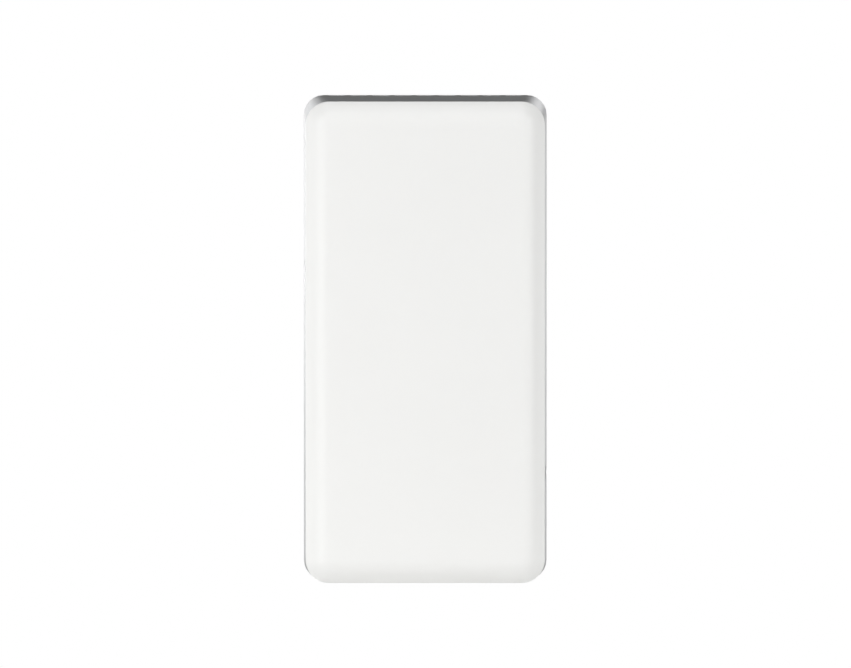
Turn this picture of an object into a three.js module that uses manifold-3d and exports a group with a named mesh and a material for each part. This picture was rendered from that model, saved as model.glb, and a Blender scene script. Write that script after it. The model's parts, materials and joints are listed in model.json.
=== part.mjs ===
// A wall-hung home battery: cover, lid, housing, cells, electronics, blowers and wall bracket.
// Millimetres, +Z up. The wall is the plane y = 0 and the front faces -Y.
// The origin is the centre of the wall bracket's back face.
import * as THREE from "three";
import { mergeVertices } from "three/addons/utils/BufferGeometryUtils.js";
import Module from "manifold-3d";

const wasm = await Module();
wasm.setup();

// ---- Driving dimensions ----
const GAP = 0.3; // between pieces that touch
const BODY_WIDTH = 550; // the housing's rear outline
const BODY_HEIGHT = 1100;
const BODY_CORNER = 45;
const DRAFT = 5; // how much smaller the outline is at the parting line, on each side
const COVER_CORNER = 53;
const BODY_BELOW_BRACKET = 300; // from the bracket's centre down to the body's centre

const REAR_Y = -4; // stations from the wall forwards
const WEB_REAR_Y = -36;
const WEB_FRONT_Y = -40;
const PARTING_Y = -172;
const FACE_Y = -200;
const WALL = 3;
const FLANGE_FRONT_Y = -168;
const FLANGE_THICKNESS = 3;
const FLANGE_INSET = 17;

const COVER_SLOPE_WIDTH = 18; // the straight part of the cover's edge, then an arc up to the face
const COVER_RIM_Y = -174;
const COVER_EDGE_WIDTH = 52;
const COVER_EDGE_RADIUS = 52.9;
const COVER_EDGE_STEPS = 5;
const COVER_LIP = { outerInset: 3.6, innerInset: 5.6, rearY: -168.8, frontY: -175 };
const COVER_STUD = { x: 190, z: 440, radius: 4, tipY: -184.5, baseRadius: 9, baseY: -194 };

const LID_REAR_Y = -170.3;
const LID_SHEET = 2;
const LID_PAN_Y = -182;
const LID_INSET = { rim: 6.5, step: 24, pan: 30 };
const LID_BEAD = { halfWidth: 5, halfHeight: 380, depth: 1.2, pitch: 100 };
const GASKET_INSET = { outer: 7, inner: 15 };

const CELL = { thick: 50, deep: 115, tall: 160 };
const CELLS_PER_ROW = 8;
const CELL_PITCH = 50.8;
const CELL_REAR_Y = -45;
const TERMINAL = { offset: 58, size: 22, height: 3 };
const LOWER_ROW_Z = -329;
const ROW_PITCH = 166;
const STACK_HALF = (CELLS_PER_ROW * CELL_PITCH) / 2;
const STACK_LOW_Z = LOWER_ROW_Z - CELL.tall / 2;
const STACK_HIGH_Z = LOWER_ROW_Z + ROW_PITCH + CELL.tall / 2;
const STACK_GAP = 0.6; // between the stack and its end plates
const END_PLATE = 10;

const BAY_ROOF_Z = -412; // top of the divider plate over the wiring bay
const RECESS = { halfWidth: 170, roofZ: -515, frontY: -150, rearY: -44 };
const GLANDS_Y = -97;
const POWER_GLAND = { x: -60, hex: 20, thread: 16, bore: 9 };
const COMMS_GLAND = { x: 20, hex: 14, thread: 10, bore: 5.5 };
const BREATHER = { x: 90, capRadius: 12, stemRadius: 8 };
const GLAND = { locknut: 4.7, flange: 8, length: 27, taper: 0.8 };

const GRIP = { z: 120, y: -100, halfHeight: 60, halfDepth: 18, corner: 8, bottomX: 247 };
const GRIP_FLANGE = { innerX: 265.5, outerX: 267.8, width: 7 };
const BUTTON = { x: 274.3, flangeX: 272.8, innerX: 262, y: -105, z: -300, radius: 7.5 };
const BEZEL = { flangeRadius: 15, sleeveRadius: 12, boreRadius: 9.6, holeRadius: 12.4 };
const LIGHT_RING = { outerRadius: 9.2, innerRadius: 7.9 };
const SIDE_X = 272; // the housing's side at the grips and the button

const AIR_SLOT = { pitch: 50, perSide: 4, halfWidth: 18, rearY: -14, frontY: -28, reach: 8 };
const WEB_RIB = { thick: 3, x: 232, halfHeight: 500, rearY: -18, crossRearY: -26 };
const CROSS_RIBS_Z = [-420, -290, -160];
const SINK_WINDOW = { halfWidth: 130, lowZ: 60, highZ: 210 };

const BLOWER = { x: 75, z: -30, size: 96, corner: 14, sheet: 2, rearY: -10, inlet: 30, spindle: 5 };
const IMPELLER = { radius: 37, hub: 15, bore: 5.4, rearY: -14, blades: 11 };
const VANE = { chord: 9, thick: 1.4, turn: 0.7 };
const SINK = { halfWidth: 150, lowZ: 40, highZ: 230, fins: 24, finThick: 2, finTipY: -13, base: 5 };
const SINK_PAD = { clearance: 2, frontY: -43.7 };

const BRACKET = { width: 400, half: 60, sheet: 3, lipY: -12, lipFloor: 40, footY: -10 };
const BRACKET_SLOT = { halfLength: 10, halfHeight: 4.5, x: [-160, -90, 90, 160], z: [-30, 15] };
const HOOK = { x: 150, width: 60, sheet: 4, legY: -4.3, leg: 16, armZ: 360.3, tail: 40, ear: 24 };
const BUMPER = { x: 200, z: -500, radius: 18, chamferY: -6, chamfer: 3 };

const TRAY = { sheet: 2.5, play: 0.5, topLipY: -110, bottomLipY: -150, overhang: 17 };
const END_PLATE_FRONT_Y = -159;
const POCKETS = { perSide: 6, pitch: 52, height: 42, edge: 12, web: 4, y: [[-150, -108], [-98, -56]] };
const STRAP = { thick: 1, halfWidth: 10, standOff: 1.3, legRearY: -100 };
const CARRIER = { thick: 3, halfHeight: 75, windowHalf: 9, slotHalfHeight: 30, frameWidth: 12 };
const VENT = { halfWidth: 8, halfHeight: 14 };

const BOARD = { sheet: 2, postRadius: 4, postInset: 8 };
const CONTACTOR = { x: 100, halfWidth: 32, lowZ: -66, highZ: 14, frontY: -100 };
const CONTACTOR_STUD = { z: [-46, -6], radius: 6, frontY: -112 };
const CONTACTOR_SKIRT = { halfWidth: 40, frontY: -46 };
const PHASE_BARRIER = { frontY: -114, lowZ: -28, highZ: -24 };
const FUSE = { x: 183, y: -72, lowZ: -52, highZ: 4, radius: 15, capRadius: 16.5, cap: 10 };
const FUSE_BASE = { x0: 160, x1: 206, frontY: -54, lowZ: -68, highZ: 20 };
const FUSE_BLADE = { halfWidth: 7, height: 14, overlap: 2 };
const INDUCTOR = { outer: 38, inner: 17, rearY: -62.3, frontY: -98, chamfer: 6 };
const INDUCTORS = { left: { x: -140, z: 270 }, right: { x: -60, z: 200 } };
const CAPACITOR = { radius: 17.5, x: [20, 72, 124], z: 288, rearY: -62.3, frontY: -112 };
const CAPACITOR_BASE = { x0: -5, x1: 146, z0: 245, z1: 330, thick: 3.7 };

const DIVIDER = { halfWidth: 262, frontY: -162 };
const DIVIDER_PORT = { x0: 200, x1: 245, rearY: -110, frontY: -150 };
const RAIL = { z: -463.5, frontY: -48.5, length: 320, sheet: 1, halfWeb: 13.5, halfHeight: 17.5 };
const BREAKER = { x: -102, width: 36, pivotY: -108, half: 40, noseHalf: 22.5, noseY: -114, shoulderY: -92 };
const BREAKER_SLOT = { radius: 10, halfWidth: 12 };
const LEVER = { drumRadius: 9.3, drumHalf: 11.5, width: 20, length: 20, thick: 5, middle: 15, closed: 35 };
const TERMINALS = { x: 80, poles: 5, pitch: 22, halfHeight: 26, frontY: -92 };
const CLAMP_HOLE = { radius: 5, rise: 8, bottomY: -86 };
const WIRE_MOUTH = { halfWidth: 7, bottomY: -70, below: 12 };
const GROUND_STUD = { x: -200, radius: 4, length: 26, foot: 12, nutRadius: 7.5, nutRise: 8, nut: 6 };

// ---- Solids ----

// A closed geometry as a solid that can be joined and cut.
function solid(geometry) {
  const bare = new THREE.BufferGeometry();
  bare.setAttribute("position", geometry.getAttribute("position"));
  bare.setIndex(geometry.getIndex());
  const merged = mergeVertices(bare, 1e-4);
  const mesh = new wasm.Mesh({
    numProp: 3,
    vertProperties: new Float32Array(merged.getAttribute("position").array),
    triVerts: new Uint32Array(merged.getIndex().array),
  });
  return new wasm.Manifold(mesh);
}

function geometryOf(body) {
  const { vertProperties, triVerts } = body.getMesh();
  const geometry = new THREE.BufferGeometry();
  geometry.setAttribute("position", new THREE.BufferAttribute(vertProperties, 3));
  geometry.setIndex(new THREE.BufferAttribute(triVerts, 1));
  const faceted = geometry.toNonIndexed();
  faceted.computeVertexNormals();
  return faceted;
}

const join = (first, ...others) => others.reduce((sum, next) => sum.add(next), first);
const cut = (body, ...tools) => tools.reduce((rest, tool) => rest.subtract(tool), body);

function block(x0, x1, y0, y1, z0, z1) {
  const geometry = new THREE.BoxGeometry(x1 - x0, y1 - y0, z1 - z0);
  return solid(geometry.translate((x0 + x1) / 2, (y0 + y1) / 2, (z0 + z1) / 2));
}

// A round bar along an axis from one coordinate to another; the other two place its centre line.
function bar(axis, radius, from, to, a, b, sides = 24, endRadius = radius) {
  const geometry = new THREE.CylinderGeometry(endRadius, radius, to - from, sides);
  const middle = (from + to) / 2;
  if (axis === "x") return solid(geometry.rotateZ(-Math.PI / 2).translate(middle, a, b));
  if (axis === "z") return solid(geometry.rotateX(Math.PI / 2).translate(a, b, middle));
  return solid(geometry.translate(a, middle, b));
}

// Points of a rounded rectangle in the XZ plane, anticlockwise as seen from the front.
function outline(halfWidth, halfHeight, corner, steps) {
  const centres = [[1, 1], [-1, 1], [-1, -1], [1, -1]];
  return centres.flatMap(([sx, sz], quarter) =>
    Array.from({ length: steps + 1 }, (_, i) => {
      const angle = ((quarter + i / steps) * Math.PI) / 2;
      const x = sx * (halfWidth - corner) + corner * Math.cos(angle);
      return new THREE.Vector2(x, sz * (halfHeight - corner) + corner * Math.sin(angle));
    }),
  );
}

// A skin through a stack of rounded rectangles from the back to the front, closed at both ends.
function loft(sections, steps = 6) {
  const rings = sections.map((s) => outline(s.halfWidth, s.halfHeight, s.corner, steps));
  const count = rings[0].length;
  const positions = rings.flatMap((ring, i) => ring.flatMap((p) => [p.x, sections[i].y, p.y]));
  const faces = [];
  for (let ring = 0; ring + 1 < rings.length; ring++) {
    for (let i = 0; i < count; i++) {
      const back = ring * count + i;
      const backNext = ring * count + ((i + 1) % count);
      faces.push(back, backNext, back + count, backNext, backNext + count, back + count);
    }
  }
  const last = (rings.length - 1) * count;
  for (const [a, b, c] of THREE.ShapeUtils.triangulateShape(rings[0], [])) faces.push(a, c, b);
  for (const [a, b, c] of THREE.ShapeUtils.triangulateShape(rings.at(-1), [])) {
    faces.push(last + a, last + b, last + c);
  }
  const geometry = new THREE.BufferGeometry();
  geometry.setAttribute("position", new THREE.Float32BufferAttribute(positions, 3));
  geometry.setIndex(faces);
  return solid(geometry);
}

// A flat shape drawn in XZ, given a thickness towards the front from rearY.
function plate(shape, rearY, thickness, curveSegments = 6) {
  const geometry = new THREE.ExtrudeGeometry(shape, {
    depth: thickness,
    bevelEnabled: false,
    curveSegments,
  });
  return solid(geometry.rotateX(Math.PI / 2).translate(0, rearY, 0));
}

function roundedShape(halfWidth, halfHeight, corner, steps = 4, x = 0, z = 0) {
  const points = outline(halfWidth, halfHeight, corner, steps);
  return new THREE.Shape(points.map((p) => p.add(new THREE.Vector2(x, z))));
}

// Turns a drawing in XY, run along Z, into one in YZ, run along X.
const DRAWN_IN_YZ = new THREE.Matrix4().makeBasis(
  new THREE.Vector3(0, 1, 0),
  new THREE.Vector3(0, 0, 1),
  new THREE.Vector3(1, 0, 0),
);

// A section drawn in YZ and run along X, centred on x = 0.
function section(points, length) {
  const shape = new THREE.Shape(points.map(([y, z]) => new THREE.Vector2(y, z)));
  const geometry = new THREE.ExtrudeGeometry(shape, { depth: length, bevelEnabled: false });
  return solid(geometry.translate(0, 0, -length / 2).applyMatrix4(DRAWN_IN_YZ));
}

// A ring or a disc turned about the Y axis from [radius, y] points.
function turned(points, sides = 20) {
  const profile = points.map(([radius, y]) => new THREE.Vector2(radius, y));
  return solid(new THREE.LatheGeometry(profile, sides));
}

// ---- The scene graph ----

const battery = new THREE.Group();
const body = new THREE.Group(); // everything that lifts off the bracket, about the body's centre
body.position.z = -BODY_BELOW_BRACKET;
battery.add(body);

const finishes = {
  cover: { color: 0xf0f0ed, roughness: 0.55, metalness: 0 },
  housing: { color: 0xc9cacb, roughness: 0.4, metalness: 0.3 },
  lid: { color: 0xa9acae, roughness: 0.45, metalness: 0.6 },
  steel: { color: 0x9a9da0, roughness: 0.4, metalness: 0.9 },
  aluminium: { color: 0xb9bcbf, roughness: 0.35, metalness: 0.9 },
  black: { color: 0x1d1e20, roughness: 0.6, metalness: 0 },
  grey: { color: 0x6f7274, roughness: 0.6, metalness: 0 },
  rubber: { color: 0x161617, roughness: 0.85, metalness: 0 },
  cell: { color: 0x2b5c9a, roughness: 0.35, metalness: 0 },
  circuit: { color: 0x1d5a34, roughness: 0.5, metalness: 0 },
  ceramic: { color: 0xd9d6d0, roughness: 0.35, metalness: 0 },
  copper: { color: 0xa8652f, roughness: 0.4, metalness: 0.8 },
  brass: { color: 0xb89645, roughness: 0.35, metalness: 0.9 },
  light: { color: 0xd7e6dc, roughness: 0.3, metalness: 0 },
  lever: { color: 0x2a2d30, roughness: 0.5, metalness: 0 },
};

function add(name, shape, finish, parent = body, x = 0, y = 0, z = 0) {
  const mesh = new THREE.Mesh(geometryOf(shape), new THREE.MeshStandardMaterial(finishes[finish]));
  mesh.name = name;
  mesh.position.set(x, y, z);
  parent.add(mesh);
  return mesh;
}

// ---- Housing ----

// The body's outline at a station, set in from the outside by inset.
function station(y, inset) {
  const towardsFront = (REAR_Y - y) / (REAR_Y - PARTING_Y);
  const corner = BODY_CORNER + (COVER_CORNER - BODY_CORNER) * towardsFront;
  return {
    y,
    halfWidth: BODY_WIDTH / 2 - DRAFT * towardsFront - inset,
    halfHeight: BODY_HEIGHT / 2 - DRAFT * towardsFront - inset,
    corner: corner - inset,
  };
}

// Long slots through the top and bottom walls of the rear channel, for cooling air.
function airSlots() {
  const { pitch, perSide, halfWidth, rearY, frontY, reach } = AIR_SLOT;
  const slots = [];
  for (let i = -perSide; i <= perSide; i++) {
    const x = i * pitch;
    for (const z of [-BODY_HEIGHT / 2, BODY_HEIGHT / 2]) {
      slots.push(block(x - halfWidth, x + halfWidth, frontY, rearY, z - reach, z + reach));
    }
  }
  return slots;
}

// Ribs on the rear of the web.
function webRibs() {
  const { thick, x, halfHeight, rearY, crossRearY } = WEB_RIB;
  const half = thick / 2;
  const root = WEB_REAR_Y - 1;
  const upright = [-x, x].map((at) => block(at - half, at + half, root, rearY, -halfHeight, halfHeight));
  const across = CROSS_RIBS_Z.map((z) => block(-x, x, root, crossRearY, z - half, z + half));
  return [...upright, ...across];
}

// The hollow from the parting line back to the web, with a flange left standing for the lid.
function frontPocket() {
  const flangeRearY = FLANGE_FRONT_Y + FLANGE_THICKNESS;
  return loft([
    station(WEB_FRONT_Y, WALL),
    station(flangeRearY, WALL),
    station(flangeRearY, FLANGE_INSET),
    station(FLANGE_FRONT_Y, FLANGE_INSET),
    station(FLANGE_FRONT_Y, WALL),
    station(PARTING_Y - 1, WALL),
  ]);
}

function rearHousing() {
  const outside = loft([station(REAR_Y, 0), station(PARTING_Y, 0)]);
  const { halfWidth, roofZ, frontY, rearY } = RECESS;
  const below = -BODY_HEIGHT / 2 - 10;
  const recess = block(-halfWidth, halfWidth, frontY, rearY, below, roofZ);
  const boxX = halfWidth + WALL;
  const recessBox = block(-boxX, boxX, frontY - WALL, 0, below, roofZ + WALL);
  const rearPocket = loft([station(REAR_Y + 1, WALL), station(WEB_REAR_Y, WALL)]);
  const { halfWidth: windowX, lowZ, highZ } = SINK_WINDOW;
  const sinkWindow = block(-windowX, windowX, WEB_FRONT_Y - 1, WEB_REAR_Y + 1, lowZ, highZ);
  const { x, y, z, innerX } = BUTTON;
  return cut(
    outside,
    cut(frontPocket(), recessBox),
    cut(rearPocket, ...webRibs()),
    recess,
    sinkWindow,
    gripOpening(-1, 0),
    gripOpening(1, 0),
    bar("x", BEZEL.holeRadius, innerX, x + 5, y, z),
    ...entryHoles(),
    ...airSlots(),
  );
}

// Holes in the recess roof for the glands and the breather valve.
function entryHoles() {
  const holes = [
    [POWER_GLAND.x, POWER_GLAND.thread],
    [COMMS_GLAND.x, COMMS_GLAND.thread],
    [BREATHER.x, BREATHER.stemRadius],
  ];
  return holes.map(([x, radius]) =>
    bar("z", radius + GAP, RECESS.roofZ - 2, RECESS.roofZ + WALL + 2, x, GLANDS_Y),
  );
}

// The opening of a grip in the side wall, shrunk by an allowance to make the cup that fits it.
function gripOpening(side, allowance, innerX = 255, outerX = 290) {
  const { y, z, halfDepth, halfHeight, corner } = GRIP;
  const [width, height] = [halfDepth - allowance, halfHeight - allowance];
  const shape = roundedShape(width, height, corner - allowance, 3, 0, z);
  const geometry = new THREE.ExtrudeGeometry(shape, { depth: outerX - innerX, bevelEnabled: false });
  geometry.applyMatrix4(DRAWN_IN_YZ).translate(side > 0 ? innerX : -outerX, y, 0);
  return solid(geometry);
}

function gripCup(side) {
  const { y, z, halfDepth, halfHeight, bottomX } = GRIP;
  const { innerX, outerX, width } = GRIP_FLANGE;
  const cup = gripOpening(side, GAP, bottomX - WALL, SIDE_X - 0.7);
  const [x0, x1] = side > 0 ? [innerX, outerX] : [-outerX, -innerX];
  const [depth, height] = [halfDepth + width, halfHeight + width];
  const flange = block(x0, x1, y - depth, y + depth, z - height, z + height);
  return cut(join(cup, flange), gripOpening(side, WALL, bottomX));
}

// ---- Front ----

// Insets and stations of the cover's edge, from its rim to the face, on the skin's outer or inner side.
function coverEdge(skin) {
  const centreY = FACE_Y + COVER_EDGE_RADIUS;
  const radius = COVER_EDGE_RADIUS - skin;
  const start = Math.asin((COVER_EDGE_WIDTH - COVER_SLOPE_WIDTH) / COVER_EDGE_RADIUS);
  const steps = COVER_EDGE_STEPS;
  return Array.from({ length: steps + 1 }, (_, i) => {
    const angle = start * (1 - i / steps);
    return [COVER_EDGE_WIDTH - radius * Math.sin(angle), centreY - radius * Math.cos(angle)];
  });
}

function coverStation([inset, y]) {
  return {
    y,
    halfWidth: BODY_WIDTH / 2 - DRAFT - inset,
    halfHeight: BODY_HEIGHT / 2 - DRAFT - inset,
    corner: Math.max(COVER_CORNER - inset, 1),
  };
}

function frontCover() {
  const rimY = PARTING_Y - 0.6;
  const outside = loft([[0, rimY], [0, COVER_RIM_Y], ...coverEdge(0)].map(coverStation));
  const inside = loft([[WALL, rimY + 1], [WALL, rimY + 0.1], ...coverEdge(WALL)].map(coverStation));
  return join(cut(outside, inside), coverLip(), ...coverStuds());
}

// The lip behind the rim that centres the cover in the housing.
function coverLip() {
  const { outerInset, innerInset, rearY, frontY } = COVER_LIP;
  const ring = loft([[outerInset, rearY], [outerInset, frontY]].map(coverStation));
  return cut(ring, loft([[innerInset, rearY + 0.8], [innerInset, frontY - 3]].map(coverStation)));
}

// The studs that snap into clips on the lid.
function coverStuds() {
  const { radius, tipY, baseRadius, baseY } = COVER_STUD;
  const root = FACE_Y + 2;
  const studs = [];
  for (const z of [COVER_STUD.z, -COVER_STUD.z]) {
    for (const x of [-COVER_STUD.x, COVER_STUD.x]) {
      studs.push(bar("y", radius, root, tipY, x, z, 12), bar("y", baseRadius, root, baseY, x, z, 12));
    }
  }
  return studs;
}

function serviceLid() {
  const { rim, step, pan } = LID_INSET;
  const front = LID_REAR_Y - LID_SHEET;
  const outside = loft([[rim, LID_REAR_Y], [rim, front], [step, front], [pan, LID_PAN_Y]].map(coverStation));
  const mouth = [[step + 1, LID_REAR_Y + 1], [step + 1, LID_REAR_Y - 0.5]];
  const inside = loft([...mouth, [pan + 1, LID_PAN_Y + LID_SHEET]].map(coverStation));
  return cut(outside, inside, ...lidBeads());
}

// Shallow grooves that stiffen the pan.
function lidBeads() {
  const { halfWidth, halfHeight, depth, pitch } = LID_BEAD;
  const rearY = LID_PAN_Y + depth;
  return [-1.5, -0.5, 0.5, 1.5].map((i) =>
    plate(roundedShape(halfWidth, halfHeight, halfWidth - 0.5, 4, i * pitch, 0), rearY, 3),
  );
}

function lidGasket() {
  const { outer, inner } = GASKET_INSET;
  const [rearY, frontY] = [FLANGE_FRONT_Y - GAP, LID_REAR_Y + GAP];
  const ring = loft([[outer, rearY], [outer, frontY]].map(coverStation));
  return cut(ring, loft([[inner, rearY + 1], [inner, frontY - 1]].map(coverStation)));
}

// ---- Wall side ----

function wallBracket() {
  const { width, half, sheet, lipY, lipFloor, footY } = BRACKET;
  const rail = section(
    [
      [0, -half],
      [0, half],
      [-sheet, half],
      [-sheet, lipFloor + sheet],
      [lipY + sheet, lipFloor + sheet],
      [lipY + sheet, half],
      [lipY, half],
      [lipY, lipFloor],
      [-sheet, lipFloor],
      [-sheet, sheet - half],
      [footY, sheet - half],
      [footY, -half],
    ],
    width,
  );
  return cut(rail, ...bracketSlots());
}

function bracketSlots() {
  const { halfLength, halfHeight } = BRACKET_SLOT;
  const slots = [];
  for (const x of BRACKET_SLOT.x) {
    for (const z of BRACKET_SLOT.z) {
      const shape = roundedShape(halfLength, halfHeight, halfHeight - 0.1, 2, x, z);
      slots.push(plate(shape, 1, 2 * BRACKET.sheet));
    }
  }
  return slots;
}

function hook() {
  const { width, sheet, legY, leg, armZ, tail, ear } = HOOK;
  const rear = WEB_REAR_Y + GAP;
  return section(
    [
      [rear, armZ - tail],
      [rear + sheet, armZ - tail],
      [rear + sheet, armZ],
      [legY - sheet, armZ],
      [legY - sheet, armZ - leg],
      [legY, armZ - leg],
      [legY, armZ + sheet],
      [rear + sheet, armZ + sheet],
      [rear + sheet, armZ + ear],
      [rear, armZ + ear],
    ],
    width,
  );
}

function bumper() {
  const rear = WEB_REAR_Y + GAP;
  const { radius, chamferY, chamfer } = BUMPER;
  return turned([[0, rear], [radius, rear], [radius, chamferY], [radius - chamfer, 0], [0, 0]]);
}

function heatSink() {
  const { halfWidth, lowZ, highZ, fins, finThick, finTipY } = SINK;
  const baseRear = WEB_REAR_Y + GAP;
  const finRoot = baseRear + SINK.base;
  const base = block(-halfWidth, halfWidth, baseRear, finRoot, lowZ, highZ);
  const { clearance, frontY } = SINK_PAD;
  const padX = SINK_WINDOW.halfWidth - clearance;
  const [padLow, padHigh] = [SINK_WINDOW.lowZ + clearance, SINK_WINDOW.highZ - clearance];
  const pad = block(-padX, padX, frontY, baseRear + 1, padLow, padHigh);
  const pitch = (2 * halfWidth - finThick) / (fins - 1);
  const blades = Array.from({ length: fins }, (_, i) => {
    const x = -halfWidth + i * pitch;
    return block(x, x + finThick, finRoot - 0.5, finTipY, lowZ, highZ);
  });
  return join(base, pad, ...blades);
}

// A blower: a square case with a round inlet behind and its outlet on top.
function blowerCase() {
  const { corner, sheet, rearY, size } = BLOWER;
  const half = size / 2;
  const front = WEB_REAR_Y + GAP;
  const depth = rearY - front;
  const outside = plate(roundedShape(half, half, corner), rearY, depth);
  const hollow = roundedShape(half - sheet, half - sheet, corner - sheet);
  const inside = plate(hollow, rearY - sheet, depth - 2 * sheet);
  const mouth = half - 10;
  const outlet = block(-mouth, mouth, front + sheet, rearY - sheet, half - 20, half + 1);
  const inlet = bar("y", BLOWER.inlet, rearY - 2 * sheet, rearY + 1, 0, 0);
  const spindle = bar("y", BLOWER.spindle, front + 1, front + 12, 0, 0, 16);
  return join(cut(outside, inside, outlet, inlet), spindle);
}

// A backward-curved impeller: a disc and a ring with vanes between them, on a hub that is open in front.
function impeller() {
  const { radius, bore, rearY } = IMPELLER;
  const floor = WEB_REAR_Y + GAP + 3;
  const disc = bar("y", radius, floor, floor + 1.5, 0, 0, 22);
  const hub = bar("y", IMPELLER.hub, floor, rearY - 1, 0, 0, 16);
  const rim = bar("y", radius, rearY - 1.5, rearY, 0, 0, 22);
  const ring = cut(rim, bar("y", radius - 6, rearY - 3, rearY + 4, 0, 0, 22));
  const hole = bar("y", bore, floor - 1, floor + 11, 0, 0, 16);
  return cut(join(disc, hub, ring, ...vanes(floor + 1, rearY - 0.5)), hole);
}

function vanes(frontY, rearY) {
  const { radius, blades } = IMPELLER;
  const { chord, thick, turn } = VANE;
  return Array.from({ length: blades }, (_, i) => {
    const geometry = new THREE.BoxGeometry(chord, rearY - frontY, thick);
    geometry.rotateY(turn).translate(radius - 5, (frontY + rearY) / 2, 0);
    return solid(geometry.rotateY((i / blades) * 2 * Math.PI));
  });
}

// ---- Underside and side fittings ----

// A cable gland: a locknut above the wall, a hexagon and a domed nut below it, and a bore through.
function gland({ hex, thread, bore }) {
  const roof = RECESS.roofZ;
  const top = roof + WALL;
  const { locknut, flange, length, taper } = GLAND;
  const stem = bar("z", thread, roof - 6, top + 7, 0, 0, 16);
  const upper = bar("z", hex, top + GAP, top + GAP + locknut, 0, 0, 6);
  const lower = bar("z", hex, roof - flange, roof - GAP, 0, 0, 6);
  const dome = bar("z", thread * taper, roof - length, roof - flange + 1, 0, 0, 16, thread);
  return cut(join(stem, upper, lower, dome), bar("z", bore, roof - 40, roof + 20, 0, 0, 12));
}

function breatherValve() {
  const roof = RECESS.roofZ;
  const cap = bar("z", BREATHER.capRadius, roof - 8, roof - GAP, 0, 0, 16);
  const stem = bar("z", BREATHER.stemRadius, roof - 2, roof + WALL + 5, 0, 0, 16);
  return join(cap, stem);
}

function buttonBezel() {
  const { x, flangeX, innerX, y, z } = BUTTON;
  const { flangeRadius, sleeveRadius, boreRadius } = BEZEL;
  const flange = bar("x", flangeRadius, flangeX, x, y, z);
  const sleeve = bar("x", sleeveRadius, innerX, x - 0.8, y, z);
  return cut(join(flange, sleeve), bar("x", boreRadius, innerX - 10, x + 10, y, z));
}

function buttonLightRing() {
  const { x, innerX, y, z } = BUTTON;
  const { outerRadius, innerRadius } = LIGHT_RING;
  const ring = bar("x", outerRadius, innerX + 2, x - 0.3, y, z);
  return cut(ring, bar("x", innerRadius, innerX - 10, x + 10, y, z));
}

function powerButton() {
  const { x, innerX, radius, y, z } = BUTTON;
  return bar("x", radius, innerX, x - 0.7, y, z);
}

// ---- Battery ----

// The middle of one cell in its row.
const cellX = (i) => (i - (CELLS_PER_ROW - 1) / 2) * CELL_PITCH;

// A prismatic cell lying with its terminals to the front.
function cell() {
  const { thick, deep, tall } = CELL;
  const front = CELL_REAR_Y - deep;
  const can = block(-thick / 2, thick / 2, front, CELL_REAR_Y, -tall / 2, tall / 2);
  const half = TERMINAL.size / 2;
  const posts = [-1, 1].map((end) => {
    const z = end * TERMINAL.offset;
    return block(-half, half, front - TERMINAL.height, front + 1, z - half, z + half);
  });
  const { halfWidth, halfHeight } = VENT;
  const vent = block(-halfWidth, halfWidth, front - 1, front + 1, -halfHeight, halfHeight);
  return join(can, ...posts, vent);
}

function batteryTray() {
  const { sheet, play, topLipY, bottomLipY, overhang } = TRAY;
  const low = STACK_LOW_Z - play;
  const high = STACK_HIGH_Z + play;
  const rear = CELL_REAR_Y + sheet;
  const skin = sheet - play;
  return section(
    [
      [rear, low - skin],
      [rear, high + skin],
      [topLipY, high + skin],
      [topLipY, high],
      [rear - skin, high],
      [rear - skin, low],
      [bottomLipY, low],
      [bottomLipY, low - skin],
    ],
    2 * (STACK_HALF + overhang),
  );
}

function endPlate() {
  const slab = block(0, END_PLATE, END_PLATE_FRONT_Y, CELL_REAR_Y, STACK_LOW_Z, STACK_HIGH_Z);
  const { perSide, pitch, height, edge, web } = POCKETS;
  const pockets = [];
  for (let i = 0; i < perSide; i++) {
    const z = STACK_LOW_Z + edge + i * pitch;
    for (const [front, rear] of POCKETS.y) {
      pockets.push(block(web, END_PLATE + 1, front, rear, z, z + height));
    }
  }
  return cut(slab, ...pockets);
}

// A steel band over the front of a row, folded back along both end plates.
function tieStrap() {
  const { thick, halfWidth, standOff, legRearY } = STRAP;
  const inner = STACK_HALF + STACK_GAP + END_PLATE + 0.5;
  const outer = inner + thick;
  const rear = CELL_REAR_Y - CELL.deep - standOff;
  const front = rear - thick;
  return join(
    block(-outer, outer, front, rear, -halfWidth, halfWidth),
    block(-outer, -inner, front, legRearY, -halfWidth, halfWidth),
    block(inner, outer, front, legRearY, -halfWidth, halfWidth),
  );
}

// A moulded frame over the terminals of one row.
function busbarCarrier() {
  const { thick, halfHeight, windowHalf: half, slotHalfHeight, frameWidth } = CARRIER;
  const rear = CELL_REAR_Y - CELL.deep - TERMINAL.height - GAP;
  const windows = [];
  for (let i = 0; i < CELLS_PER_ROW; i++) {
    const x = cellX(i);
    for (const z of [-TERMINAL.offset, TERMINAL.offset]) {
      windows.push(block(x - half, x + half, rear - 10, rear + 10, z - half, z + half));
    }
  }
  const frame = plate(roundedShape(STACK_HALF, halfHeight, 5), rear, thick);
  const slotX = STACK_HALF - frameWidth;
  return cut(frame, ...windows, block(-slotX, slotX, rear - 10, rear + 10, -slotHalfHeight, slotHalfHeight));
}

// ---- Electronics ----

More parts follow.
